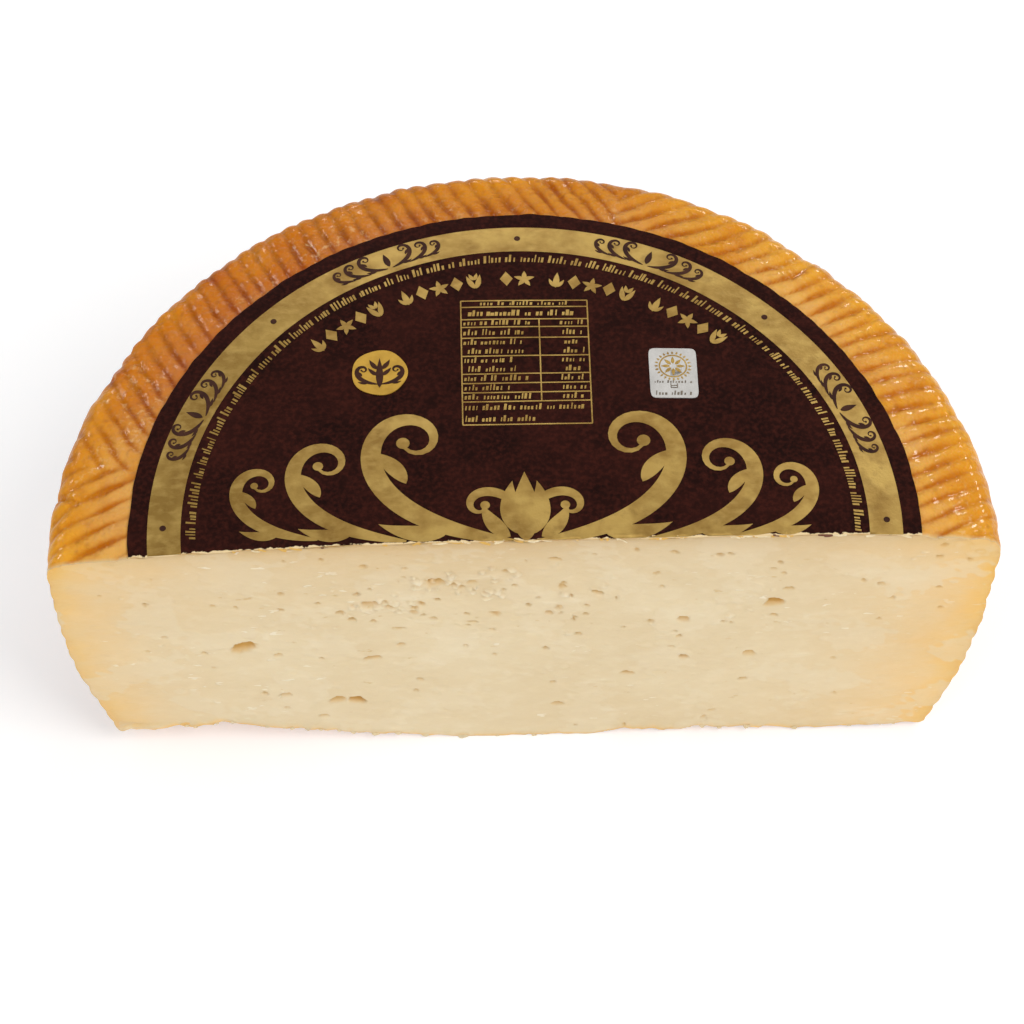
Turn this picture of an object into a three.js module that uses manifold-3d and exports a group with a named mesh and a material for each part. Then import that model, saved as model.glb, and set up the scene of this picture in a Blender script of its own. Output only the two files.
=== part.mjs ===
// Half of a pressed and ripened cheese wheel, standing on its base with the cut face forward (-Y).
// Millimetres, +Z up. The origin is the middle of the object's box, on the surface it stands on.
import * as THREE from 'three';
import { mergeVertices } from 'three/addons/utils/BufferGeometryUtils.js';
import Module from 'manifold-3d';

// Driving dimensions: the whole wheel
const RADIUS = 108.9;        // widest radius, just under the top shoulder
const TOP_EDGE = 86.1;       // height of the top face where its crown ends
const CROWN = 2.8;           // rise of the top face from there to the middle
const CROWN_RADIUS = 90;
const SHOULDER_RADIUS = 103.5; // where the top face turns down into the side
const MARGIN_DROP = 1.7;     // fall of the top face between those two radii
const SHOULDER_DROP = 6;     // fall of the rounded shoulder below that
const WAIST = 57;            // height under which the side draws in towards the base
const DRAW_IN = 10;          // how far it draws in at the base
const DRAW_POWER = 1.6;      // shape of that curve: 1 is a cone, 2 a parabola
const BELLY = 0.4;           // how much narrower the side is at the waist than at the shoulder
const BASE_FLAT = 50;        // radius of the flat part of the base
const BASE_LIFT = 3.2;       // how far the base's rim stands clear of the surface
const BASE_LIFT_SWING = 2.2; // how much more than that at -X, and how much less at +X
const BASE_CORNER = 1.6;     // rounding between base and side
const LEAN = 1.0;            // degrees that the top face rises towards +X
const SLUMP = 2.4;           // how far the base sits towards +X of the top

// Driving dimensions: the cut, the label and what is stuck on it
const CUT_PAST_AXIS = 3.1;   // the cut runs this far in front of the wheel's axis
const LABEL_RADIUS = 90;
const LABEL_OFFSET = 2.6;    // the label sits this far behind the axis
const PAPER = 0.35;          // thickness of the label and of each sticker
const GAP = 0.3;             // clearance that keeps stuck-on pieces separate bodies
const SEAL = { x: -33, back: 44.5, radius: 6.6 };
const STICKER = { x: 35.5, back: 43.3, width: 11.2, height: 14.6 };

// Fineness of the turned shapes
const AROUND = 96;
const CROWN_STEPS = 5;
const SIDE_STEPS = 9;
const BEND_STEPS = 5;

const HEIGHT = TOP_EDGE + CROWN;
const BASE_RIM = RADIUS - BELLY - DRAW_IN;
const AXIS_Y = -(RADIUS - CUT_PAST_AXIS) / 2;
const CUT_Y = AXIS_Y - CUT_PAST_AXIS;

const wasm = await Module();
wasm.setup();

// Height of the top face at a distance from the axis: a shallow parabola, then a plain slope.
function topHeight(r) {
  if (r < CROWN_RADIUS) return TOP_EDGE + CROWN * (1 - (r / CROWN_RADIUS) ** 2);
  return TOP_EDGE - MARGIN_DROP * (r - CROWN_RADIUS) / (SHOULDER_RADIUS - CROWN_RADIUS);
}

// Radius of the side wall at a height between the base corner and the waist.
function sideRadius(z) {
  const below = Math.max(0, 1 - z / WAIST);
  return RADIUS - BELLY - DRAW_IN * below ** DRAW_POWER;
}

// Radii at which the top face has its rings, out to a given radius.
function topRings(outer) {
  const rings = [];
  for (let i = 0; i <= CROWN_STEPS; i++) rings.push(CROWN_RADIUS * i / CROWN_STEPS);
  rings.push(outer);
  return rings;
}

// Outline of the whole wheel from the middle of its base, up the side, to the middle of its top.
function wheelProfile() {
  const corner = BASE_LIFT + BASE_CORNER;
  const cornerRadius = sideRadius(corner);
  const points = [new THREE.Vector2(0, 0), new THREE.Vector2(BASE_FLAT, 0)];
  for (let i = 1; i < BEND_STEPS; i++) {
    const t = i / BEND_STEPS;
    const r = BASE_FLAT + (cornerRadius - BASE_CORNER - BASE_FLAT) * t;
    points.push(new THREE.Vector2(r, BASE_LIFT * t ** 2));
  }
  const bottomBend = new THREE.EllipseCurve(
    cornerRadius - BASE_CORNER, corner, BASE_CORNER, BASE_CORNER, -Math.PI / 2, 0);
  points.push(...bottomBend.getPoints(BEND_STEPS - 1));
  for (let i = 1; i <= SIDE_STEPS; i++) {
    const z = corner + (WAIST - corner) * i / SIDE_STEPS;
    points.push(new THREE.Vector2(sideRadius(z), z));
  }
  const shoulderTop = topHeight(SHOULDER_RADIUS);
  const shoulder = new THREE.EllipseCurve(
    SHOULDER_RADIUS, shoulderTop - SHOULDER_DROP, RADIUS - SHOULDER_RADIUS, SHOULDER_DROP, 0, Math.PI / 2);
  points.push(...shoulder.getPoints(BEND_STEPS + 2));
  for (const r of topRings(SHOULDER_RADIUS).reverse().slice(1)) {
    points.push(new THREE.Vector2(r, topHeight(r)));
  }
  return points;
}

// Outline of a thin sheet that follows the top face between two distances above it.
function sheetProfile(low, high, outer) {
  const rings = topRings(outer);
  const under = rings.map((r) => new THREE.Vector2(r, topHeight(r) + low));
  const over = rings.map((r) => new THREE.Vector2(r, topHeight(r) + high)).reverse();
  return [...under, ...over];
}

// A profile turned about the wheel's upright axis, then settled as a soft cheese settles:
// the top leans towards +X, the base sits a little towards +X, and its rim lifts more at -X.
function turned(profile) {
  const geometry = new THREE.LatheGeometry(profile, AROUND);
  geometry.rotateX(Math.PI / 2);
  const slope = Math.tan(THREE.MathUtils.degToRad(LEAN));
  const position = geometry.attributes.position;
  for (let i = 0; i < position.count; i++) {
    const x = position.getX(i);
    const z = position.getZ(i);
    const up = z / HEIGHT;
    const r = Math.hypot(x, position.getY(i));
    const rim = Math.max(0, (r - BASE_FLAT) / (BASE_RIM - BASE_FLAT)) ** 2 * Math.max(0, 1 - up);
    position.setX(i, x + SLUMP * (1 - up));
    position.setZ(i, z + x * slope * up - BASE_LIFT_SWING * rim * x / BASE_RIM);
  }
  geometry.translate(0, AXIS_Y, 0);
  return geometry;
}

// A closed geometry as a solid that can be joined and cut.
function solid(geometry) {
  const bare = geometry.clone();
  bare.deleteAttribute('normal');
  bare.deleteAttribute('uv');
  const merged = mergeVertices(bare, 1e-4);
  const index = merged.index.array;
  const triangles = [];
  for (let i = 0; i < index.length; i += 3) {
    const [a, b, c] = index.slice(i, i + 3);
    if (a !== b && b !== c && c !== a) triangles.push(a, b, c);
  }
  return new wasm.Manifold(new wasm.Mesh({
    numProp: 3,
    vertProperties: merged.attributes.position.array,
    triVerts: Uint32Array.from(triangles),
  }));
}

// A solid back as a named mesh with a material of its own.
function piece(name, body, colour, roughness, metalness) {
  const { vertProperties, triVerts } = body.getMesh();
  const geometry = new THREE.BufferGeometry();
  geometry.setAttribute('position', new THREE.BufferAttribute(vertProperties, 3));
  geometry.setIndex(new THREE.BufferAttribute(triVerts, 1));
  geometry.computeVertexNormals();
  const mesh = new THREE.Mesh(geometry, new THREE.MeshStandardMaterial({ color: colour, roughness, metalness }));
  mesh.name = name;
  return mesh;
}

// Everything behind the knife's cut.
function behindCut() {
  const room = 3 * RADIUS;
  const box = new THREE.BoxGeometry(room, room, room);
  box.translate(0, CUT_Y + room / 2, 0);
  return solid(box);
}

// An upright round bar or square bar that stamps an outline out of a sheet.
function roundStamp(x, y, radius, sides) {
  const bar = new THREE.CylinderGeometry(radius, radius, HEIGHT, sides);
  bar.rotateX(Math.PI / 2);
  bar.translate(x, y, HEIGHT);
  return solid(bar);
}

function squareStamp(x, y, width, height) {
  const bar = new THREE.BoxGeometry(width, height, HEIGHT);
  bar.translate(x, y, HEIGHT);
  return solid(bar);
}

const kept = behindCut();

function makeCheese() {
  return solid(turned(wheelProfile())).intersect(kept);
}

function makeLabel() {
  const sheet = solid(turned(sheetProfile(GAP, GAP + PAPER, LABEL_RADIUS + 2 * LABEL_OFFSET)));
  const stamp = roundStamp(0, AXIS_Y + LABEL_OFFSET, LABEL_RADIUS, AROUND);
  return sheet.intersect(stamp).intersect(kept);
}

// A sticker lies on the label, so its sheet starts one gap above the paper.
function makeSticker(stamp) {
  const low = 2 * GAP + PAPER;
  return solid(turned(sheetProfile(low, low + PAPER, LABEL_RADIUS + LABEL_OFFSET))).intersect(stamp);
}

const wheel = new THREE.Group();
wheel.add(piece('cheese', makeCheese(), 0xe6b45c, 0.45, 0));
wheel.add(piece('label', makeLabel(), 0x2e1614, 0.55, 0));
wheel.add(piece('gold_seal',
  makeSticker(roundStamp(SEAL.x, AXIS_Y + SEAL.back, SEAL.radius, AROUND / 3)), 0xd9b44a, 0.35, 0.6));
wheel.add(piece('silver_sticker',
  makeSticker(squareStamp(STICKER.x, AXIS_Y + STICKER.back, STICKER.width, STICKER.height)), 0xd8d8d8, 0.35, 0.3));

// The slump makes the box a little lopsided, so the group is moved until its box is centred.
const box = new THREE.Box3().setFromObject(wheel);
wheel.position.x = -(box.min.x + box.max.x) / 2;

export default wheel;
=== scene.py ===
# %% [markdown]
# # Half a ripened cheese wheel
# A pressed cheese, cut through the middle and standing on its base with the cut face forward. Its parts
# are the oily rind with the print of the woven mat that it drained in, the ivory paste of the cut face,
# and a dark paper label with gold print, a round seal and a small sticker.
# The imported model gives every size, and this script builds the looks around it. All shapes are worked
# out in millimetres with numpy, and are scaled to metres when they are put into a mesh.

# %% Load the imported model
import math

import bmesh
import bpy
import numpy as np
from mathutils import Matrix, Vector


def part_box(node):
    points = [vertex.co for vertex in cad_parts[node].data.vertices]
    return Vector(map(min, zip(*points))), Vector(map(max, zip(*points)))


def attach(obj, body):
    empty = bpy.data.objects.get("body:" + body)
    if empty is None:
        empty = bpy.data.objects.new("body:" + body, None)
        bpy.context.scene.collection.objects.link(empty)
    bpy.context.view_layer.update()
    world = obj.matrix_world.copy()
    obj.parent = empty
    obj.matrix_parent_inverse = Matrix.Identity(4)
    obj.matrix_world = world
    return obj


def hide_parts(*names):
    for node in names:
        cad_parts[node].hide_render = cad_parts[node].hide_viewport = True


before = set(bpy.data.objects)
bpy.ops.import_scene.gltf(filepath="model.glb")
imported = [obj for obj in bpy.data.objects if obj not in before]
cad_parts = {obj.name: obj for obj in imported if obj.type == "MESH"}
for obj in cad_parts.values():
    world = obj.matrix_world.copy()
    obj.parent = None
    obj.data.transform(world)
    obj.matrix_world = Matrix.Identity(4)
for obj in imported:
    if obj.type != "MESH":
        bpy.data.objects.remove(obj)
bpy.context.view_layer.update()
MM = 0.001
cheese_low, cheese_high = [np.array(corner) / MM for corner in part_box("cheese")]
print("cheese box, mm:", cheese_low.round(1), cheese_high.round(1))

# %% [markdown]
# ## The wheel's own shape
# A wheel is a turned shape, so one outline describes it: a top with a shallow crown, a rounded shoulder,
# a side that draws in towards the base, and a slightly dished base. The numbers are those of the packed
# model. The wheel stands with its axis at the origin while it is being made, because that keeps the
# formulas short, and it is moved to its place at the end.

# %% Sizes of the wheel
RADIUS = 108.9
TOP_EDGE = 86.1
CROWN = 2.8
CROWN_RADIUS = 90.0
SHOULDER_RADIUS = 103.5
MARGIN_DROP = 1.7
SHOULDER_DROP = 6.0
WAIST = 57.0
DRAW_IN = 10.0
DRAW_POWER = 1.6
BELLY = 0.4
BASE_FLAT = 50.0
BASE_LIFT = 3.2
BASE_LIFT_SWING = 2.2
BASE_CORNER = 1.6
LEAN = math.tan(math.radians(1.0))
SLUMP = 2.4
CUT_PAST_AXIS = 3.1
HEIGHT = TOP_EDGE + CROWN
BASE_RIM = RADIUS - BELLY - DRAW_IN
CUT_Y = cheese_low[1]
AXIS = np.array([-0.37, CUT_Y + CUT_PAST_AXIS, 0.0])


def top_height(r):
    """Height of the top: a parabola out to the label's edge, then a straight fall to the shoulder."""
    crown = TOP_EDGE + CROWN * (1 - (r / CROWN_RADIUS) ** 2)
    fall = (r - CROWN_RADIUS) / (SHOULDER_RADIUS - CROWN_RADIUS)
    return np.where(r < CROWN_RADIUS, crown, TOP_EDGE - MARGIN_DROP * fall)


def side_radius(z):
    """Radius of the side: it shrinks by a power of the depth below the waist, and slightly above it."""
    shoulder_low = float(top_height(SHOULDER_RADIUS)) - SHOULDER_DROP
    below = np.maximum(0, 1 - z / WAIST)
    above = np.clip((z - WAIST) / (shoulder_low - WAIST), 0, 1)
    return RADIUS - BELLY * (1 - above) - DRAW_IN * below ** DRAW_POWER


def base_height(r):
    """Height of the base: flat, then a parabola up to the rim."""
    rim = side_radius(BASE_LIFT + BASE_CORNER) - BASE_CORNER
    return BASE_LIFT * np.clip((r - BASE_FLAT) / (rim - BASE_FLAT), 0, 1) ** 2


def settle(points):
    """The lean and slump of a soft wheel: heights rise in proportion to x, and layers slide towards +X
    in proportion to their distance from the top. The base's rim lifts more at -X."""
    x = points[..., 0]
    y = points[..., 1]
    z = points[..., 2]
    low = 1 - z / HEIGHT
    rim = np.maximum(0, (np.hypot(x, y) - BASE_FLAT) / (BASE_RIM - BASE_FLAT)) ** 2 * np.maximum(0, low)
    moved_z = z + x * LEAN * z / HEIGHT - BASE_LIFT_SWING * rim * x / BASE_RIM
    return np.stack([x + SLUMP * low, y, moved_z], -1) + AXIS


print("height", HEIGHT, "mm, base rim radius", BASE_RIM, "mm")

# %% [markdown]
# ## Putting surfaces into meshes
# Every shape below is a grid of points, so the same few helpers serve them all: one numbers the grid's
# faces, one closes an open shell with a fan of triangles, one joins many small shapes, and one puts the
# arrays into a mesh.
# `foreach_set` copies a whole array at once, which is much faster than adding points one by one.

# %% Mesh helpers


def grid_faces(rows, columns):
    """Four corners of each square of a grid whose points are numbered row by row."""
    index = np.arange(rows * columns).reshape(rows, columns)
    corners = [index[:-1, :-1], index[:-1, 1:], index[1:, 1:], index[1:, :-1]]
    return np.stack(corners, -1).reshape(-1, 4)


def grid_border(rows, columns):
    """Numbers of the points once round the grid's edge."""
    index = np.arange(rows * columns).reshape(rows, columns)
    return np.concatenate([index[0, :-1], index[:-1, -1], index[-1, :0:-1], index[:0:-1, 0]])


def add_piece(name, points, faces, attributes=None, sharp=60):
    """Makes an object of an array of points in millimetres and a list of face arrays. Points that
    coincide are merged, so that poles and seams are closed, and faces are turned outwards."""
    mesh = bpy.data.meshes.new(name)
    corners = np.concatenate([part.ravel() for part in faces])
    sizes = np.concatenate([np.full(len(part), part.shape[1]) for part in faces])
    mesh.vertices.add(len(points))
    mesh.vertices.foreach_set("co", (points * MM).ravel())
    mesh.loops.add(len(corners))
    mesh.loops.foreach_set("vertex_index", corners.astype(np.int32))
    mesh.polygons.add(len(sizes))
    starts = np.concatenate([[0], np.cumsum(sizes)[:-1]])
    mesh.polygons.foreach_set("loop_start", starts.astype(np.int32))
    mesh.update(calc_edges=True)
    for key, values in (attributes or {}).items():
        layer = mesh.attributes.new(key, "FLOAT", "POINT")
        layer.data.foreach_set("value", np.ravel(values).astype(np.float32))
    shape = bmesh.new()
    shape.from_mesh(mesh)
    bmesh.ops.remove_doubles(shape, verts=shape.verts, dist=2e-6)
    bmesh.ops.recalc_face_normals(shape, faces=shape.faces)
    shape.to_mesh(mesh)
    shape.free()
    mesh.polygons.foreach_set("use_smooth", np.ones(len(mesh.polygons), bool))
    mesh.set_sharp_from_angle(angle=math.radians(sharp))
    piece = bpy.data.objects.new(name, mesh)
    bpy.context.scene.collection.objects.link(piece)
    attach(piece, "root")
    triangles = sum(len(p.vertices) - 2 for p in mesh.polygons)
    print(name, "has", triangles, "triangles")
    return piece


def close_with_fan(points, border, apex):
    """The points with one more at the apex, and a triangle from it to each step of the border."""
    tip = np.full(len(border), len(points))
    return np.vstack([points, apex]), np.stack([np.roll(border, -1), border, tip], -1)


def join_parts(parts):
    """One array of points and one of faces, from a list of (points, faces)."""
    counts = [len(points) for points, faces in parts]
    starts = np.cumsum([0] + counts[:-1])
    all_faces = [faces + start for (points, faces), start in zip(parts, starts)]
    return np.vstack([points for points, faces in parts]), np.vstack(all_faces)


# %% [markdown]
# ## Natural unevenness
# Nothing on a ripened cheese is straight or even. A sum of plane waves with random directions is smooth
# noise that has a value at any point, so neighbouring pieces that use the same seed still meet exactly.

# %% Noise helpers


def waves(points, seed, size):
    """Smooth noise of about -1 to 1: the sum of 14 plane waves that are about `size` mm long."""
    count = 14
    rng = np.random.default_rng(seed)
    direction = rng.normal(size=(count, points.shape[-1]))
    direction /= np.linalg.norm(direction, axis=1)[:, None]
    length = size * rng.uniform(0.7, 1.5, count)
    turn = points @ (direction / length[:, None]).T * 2 * np.pi + rng.uniform(0, 2 * np.pi, count)
    return np.sin(turn).sum(-1) / np.sqrt(count * 1.5)


def ramp(value, start, end):
    """0 up to the start, 1 from the end on, and a smooth S between them: 3t² - 2t³."""
    t = np.clip((value - start) / (end - start), 0, 1)
    return t * t * (3 - 2 * t)


# %% [markdown]
# ## The print of the draining mat
# The curd is pressed in a woven mat, whose strands leave ribs. On the flat faces the mat has four
# quarters with strands running different ways, so the ribs meet in a herringbone. On the side the ribs
# run in a zigzag. A rib could be a bump in the material, but it shows at the wheel's outline, so it is
# made in the shape: broad round crests and narrow valleys, which are a low power of a cosine wave.

# %% Rib patterns
RIB_PITCH = 4.25
RIB_DEPTH = 0.92
MAT_QUARTERS = [(-60, 75, 24), (75, 167, 118), (167, 260, 27)]  # from, to and rib heading, in degrees
ZIGZAG_LENGTH = 27.0
BARE_RADIUS = 85.0


def crest(turns):
    """A wave that is 1 on broad crests and nearly 0 in narrow valleys: (cos² πt + 0.012) ^ 0.34."""
    return (np.cos(np.pi * turns) ** 2 + 0.012) ** 0.34


def polar_degrees(x, y):
    """Angle about the axis, from -90 to 270, so that the wheel's back half has no jump."""
    angle = np.degrees(np.arctan2(y, x))
    return np.where(angle < -90, angle + 360, angle)


def face_ribs(points):
    """Ribs of a flat face: straight crests that are RIB_PITCH apart, with a heading for each quarter."""
    x = points[..., 0]
    y = points[..., 1]
    wander = 0.19 * waves(points, 3, 34) + 0.08 * waves(points, 4, 11)
    angle = polar_degrees(x, y) + 0.7 * waves(points, 5, 8)
    total = np.zeros_like(x)
    for start, end, heading in MAT_QUARTERS:
        a = math.radians(heading)
        across = (y * math.cos(a) - x * math.sin(a)) / RIB_PITCH
        share = ramp(angle, start - 0.7, start + 0.7) - ramp(angle, end - 0.7, end + 0.7)
        total += share * crest(across + wander + heading)
    return total


def side_ribs(points):
    """Ribs of the side: crests that are RIB_PITCH apart and zigzag as they go round."""
    along = np.radians(polar_degrees(points[..., 0], points[..., 1])) * RADIUS
    zigzag = np.arcsin(0.97 * np.sin(2 * np.pi * along / ZIGZAG_LENGTH)) * ZIGZAG_LENGTH / (2 * np.pi)
    wander = 0.13 * waves(points, 6, 34) + 0.05 * waves(points, 7, 9)
    return crest((points[..., 2] + zigzag) / (RIB_PITCH * math.sqrt(2)) + wander)


# %% [markdown]
# ## The rind
# The skin is a grid: columns fan out from the middle of the cut, and rows step from the middle of the
# top, over the shoulder and down the side. Rows beyond the label are exact arcs about the axis, and
# their distance from the fan's centre is d·sin θ + √(r² - d²·cos² θ), where d is how far the cut is
# past the axis. Each point is then moved along the surface's normal by the ribs and some unevenness.

# %% Plan of the rows
COLUMNS = 561
FAN = np.linspace(0, np.pi, COLUMNS)
SHRINK_FROM = 60.0
SIDE_ROWS = 88
SHOULDER_ROWS = 14


def half_disc(radii, angles, past=CUT_PAST_AXIS):
    """Plan of a cut disc: a row per radius and a column per angle about the middle of the cut. Rows
    inside SHRINK_FROM are smaller copies of that row, so they close on the middle of the cut."""
    r = np.asarray(radii, float)[:, None]
    outer = np.maximum(r, SHRINK_FROM)
    reach = past * np.sin(angles) + np.sqrt(outer ** 2 - (past * np.cos(angles)) ** 2)
    reach = reach * np.minimum(r / SHRINK_FROM, 1)
    return reach * np.cos(angles), reach * np.sin(angles) - past


def wall_profile():
    """Radius and height down the wall: a quarter ellipse, the side, and a quarter circle."""
    turn = np.linspace(np.pi / 2, 0, SHOULDER_ROWS)
    shoulder_low = float(top_height(SHOULDER_RADIUS)) - SHOULDER_DROP
    shoulder_r = SHOULDER_RADIUS + (RADIUS - SHOULDER_RADIUS) * np.cos(turn)
    shoulder_z = shoulder_low + SHOULDER_DROP * np.sin(turn)
    corner = BASE_LIFT + BASE_CORNER
    side_z = np.linspace(shoulder_low, corner, SIDE_ROWS)[1:]
    bend = np.linspace(0, -np.pi / 2, 6)[1:]
    corner_r = float(side_radius(corner)) - BASE_CORNER + BASE_CORNER * np.cos(bend)
    corner_z = corner + BASE_CORNER * np.sin(bend)
    radii = np.concatenate([shoulder_r, side_radius(side_z), corner_r])
    return radii, np.concatenate([shoulder_z, side_z, corner_z])


def normals(points):
    """Unit outward normals of a grid: the cross product of its rows' direction and its columns'."""
    normal = np.cross(np.gradient(points, axis=0), np.gradient(points, axis=1))
    size = np.linalg.norm(normal, axis=-1, keepdims=True)
    return np.where(size > 1e-9, normal / np.maximum(size, 1e-9), 0.0)


# %% [markdown]
# The cut edge isn't perfect either. The base has broken away a little along the cut, most of all at the
# left, and the knife left nicks in the top edge. Both are lifts or drops that fade with distance from
# the cut, so the rind and the cut face can share one edge.

# %% Chips along the cut
CHIPS = np.array([  # along the cut, and how far the base's edge is lifted there, in mm
    (-112, 1.2), (-98, 1.2), (-90, 3.4), (-83, 5.9), (-76, 6.6), (-71, 9.4), (-63, 7.2), (-55, 5.8),
    (-45, 4.6), (-36, 3.1), (-21, 1.3), (-12, 0), (20, 0.1), (28, 2.1), (33, 1.5), (39, 1.0),
    (45, 2.2), (62, 1.7), (74, 0.5), (98, 1.2), (112, 1.2),
])


def break_edges(points):
    """Lifts the base and lowers the top close to the cut plane, by amounts that vary along it."""
    x = points[..., 0]
    behind = points[..., 1] + CUT_PAST_AXIS
    z = points[..., 2]
    line = np.stack([x + SLUMP, behind * 0.4], -1)
    ragged = 0.55 * waves(line, 11, 4.5) + 0.3 * waves(line, 12, 1.6)
    up = np.interp(x + SLUMP, CHIPS[:, 0], CHIPS[:, 1])
    reach = 2.5 + 0.9 * up
    lift = (up + ragged * (0.35 + 0.25 * np.minimum(up, 2))) * np.exp(-(behind / reach) ** 2)
    lift = np.maximum(lift, 0) * np.clip(1 - z / 18, 0, 1)
    nick = np.maximum(0, waves(line, 13, 5) - 0.35) * 0.8 + np.maximum(0, waves(line, 14, 1.8) - 0.5) * 0.5
    nick = nick * np.exp(-(behind / 0.9) ** 2) * ramp(z, 80, 83.5)
    moved = points.copy()
    moved[..., 2] = z + lift - nick
    return moved


# %% [markdown]
# Each point of the plan is pushed in where there is a valley between two ribs. The ribs fade out under the
# label, and are rubbed low at the shoulder and on the side. The skin is crumpled a little everywhere. It
# has three marks of its own: a dent at the back left, a ledge where two pieces of mat met, and a crack in
# the rim at the left.

# %% Build the rind
LABEL_EDGE_RAMP = (BARE_RADIUS - 1.5, BARE_RADIUS + 5)
DENT_ANGLE = 150
LEDGE_ANGLE = 46.6
CRACK_ANGLE = 172


def dimple(points):
    """Slow unevenness of the whole wheel, in mm."""
    return 0.22 * waves(points, 21, 70) + 0.1 * waves(points, 22, 30)


def roughen(points, normal):
    """Moves points along their normals by ribs and unevenness, and returns them with the ribs' heights."""
    x = points[..., 0]
    y = points[..., 1]
    r = np.hypot(x, y)
    angle = polar_degrees(x, y)
    on_face = ramp(np.abs(normal[..., 2]), 0.12, 0.5)
    under = ramp(-normal[..., 2], 0.3, 0.6)
    ribs = on_face * face_ribs(points) + (1 - on_face) * side_ribs(points)
    near_label = ramp(r, *LABEL_EDGE_RAMP) * 0.55 + ramp(r, 90, 97) * 0.45
    presence = np.where(points[..., 2] > 60, near_label, 1) * (1 - 0.35 * under)
    rubbed = ramp(r, 98, 106) * ramp(points[..., 2], 70, 80) * np.where(angle < 75, 0.42, 0.2)
    presence = presence * (1 - rubbed) * (0.62 + 0.38 * on_face)
    depth = RIB_DEPTH * (0.88 + 0.2 * waves(points, 23, 16))
    crumple = 0.07 * waves(points, 24, 3.2) + 0.05 * waves(points, 25, 1.9)
    crumple = crumple * (0.6 + 0.8 * ramp(waves(points, 26, 26), -0.2, 0.7))
    dent = 1.2 * np.exp(-((angle - DENT_ANGLE) / 4.5) ** 2) * np.exp(-((points[..., 2] - 77) / 4.5) ** 2)
    ledge = 0.55 * ramp(angle, LEDGE_ANGLE, LEDGE_ANGLE + 0.5) * (1 - ramp(angle, 50, 60))
    ledge = ledge * ramp(r, 97.5, 99.0)
    ledge = ledge * ramp(points[..., 2], 70, 80)
    lumps = 0.25 * waves(points, 27, 11) * ramp(r, 97, 104)
    crack = np.exp(-((angle - CRACK_ANGLE + 0.3 * (r - 105)) / 0.4) ** 2) * ramp(r, 102, 104.5)
    crack = crack * ramp(points[..., 2], 77, 81)
    out = -depth * (1 - ribs) * presence + crumple * presence + lumps - dent - ledge - 0.9 * crack
    moved = points + normal * out[..., None]
    moved[..., 2] += dimple(points)
    moved[..., 1] = np.maximum(moved[..., 1], -CUT_PAST_AXIS)
    moved[:, 0, 1] = -CUT_PAST_AXIS
    moved[:, -1, 1] = -CUT_PAST_AXIS
    return moved, 1 - (1 - ribs) * presence - 1.5 * crack


top_radii = np.concatenate([np.linspace(0, 84, 14), np.linspace(84, SHOULDER_RADIUS, 35)[1:-1]])
wall_radii, wall_heights = wall_profile()
plan_x, plan_y = half_disc(np.concatenate([top_radii, wall_radii]), FAN)
heights = np.vstack([
    top_height(np.hypot(plan_x[:len(top_radii)], plan_y[:len(top_radii)])),
    np.broadcast_to(wall_heights[:, None], (len(wall_heights), COLUMNS)),
])
smooth_skin = np.stack([plan_x, plan_y, heights], -1)
skin, skin_ribs = roughen(smooth_skin, normals(smooth_skin))
skin = settle(break_edges(skin))

base_rim = float(wall_radii[-1])
plan_x, plan_y = half_disc(np.linspace(base_rim, 0, 92), FAN)
smooth_base = np.stack([plan_x, plan_y, base_height(np.hypot(plan_x, plan_y))], -1)
base, base_ribs = roughen(smooth_base, normals(smooth_base))
base = settle(break_edges(base))
base[0] = skin[-1]
base[..., 2] = np.maximum(base[..., 2], 0.0)
print("skin", skin.shape, "from", skin.min((0, 1)).round(1), "to", skin.max((0, 1)).round(1))

# %% [markdown]
# The skin and the base are two pieces, because one mesh with ribs this fine would be too heavy. They share
# the row of points at the base's rim. Each is closed by a fan of triangles to a point inside the cheese,
# so that it is a solid, and the fans don't cross. Four numbers stay on the points for the finish: `rib` is
# the height of the rib, `cut` is 1 at the knife's edge, and `edge` is 1 from the rim outwards. `tone` says
# how far the skin has darkened: ripening and oil leave one flank deep orange and another a paler yellow.

# %% Rind objects
TONES = np.array([  # angle about the axis in degrees, and how dark the skin is there
    (-5, 0.42), (10, 0.34), (35, 0.22), (60, 0.36), (78, 0.55), (95, 0.85), (120, 1.0), (145, 0.95),
    (162, 0.7), (172, 0.4), (185, 0.32), (230, 0.45), (265, 0.42),
])


def rind_tone(points):
    """How dark the skin is, 0 to 1: a value for each direction from the axis, plus slow noise."""
    x = points[..., 0] - AXIS[0]
    y = points[..., 1] - AXIS[1]
    tone = np.interp(polar_degrees(x, y), TONES[:, 0], TONES[:, 1])
    return np.clip(tone + 0.13 * waves(points, 31, 40) + 0.06 * waves(points, 32, 15), 0, 1)


def add_rind(name, grid, ribs, apex):
    """A closed piece of rind with its rib heights and tone as attributes."""
    rows, columns = ribs.shape
    points, fan = close_with_fan(grid.reshape(-1, 3), grid_border(rows, columns), apex)
    from_axis = np.hypot(grid[..., 0] - AXIS[0], grid[..., 1] - AXIS[1])
    attributes = {
        "rib": np.append(ribs.ravel(), 0.5),
        "tone": np.append(rind_tone(grid).ravel(), 0.5),
        "cut": np.append(np.exp(-((grid[..., 1] - CUT_Y) / 0.55) ** 2).ravel(), 0.5),
        "edge": np.append(ramp(from_axis, 92, 106).ravel(), 0.5),
    }
    piece = add_piece(name, points, [grid_faces(rows, columns), fan], attributes)
    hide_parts("cheese")
    return piece


rind = add_rind("rind", skin, skin_ribs, AXIS + [0, 45, 48])
rind_base = add_rind("rind_base", base, base_ribs, AXIS + [0, 45, 25])

# %% [markdown]
# ## The cut face
# The face is flat apart from small eyes, crumbs and the knife's drag marks. Its edge has to be the rind's
# own edge, so the grid is a Coons patch: it blends the top and bottom edges, adds the blend of the left
# and right edges, and takes away the blend of the four corners. The relief is then a depth for each point.

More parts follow.
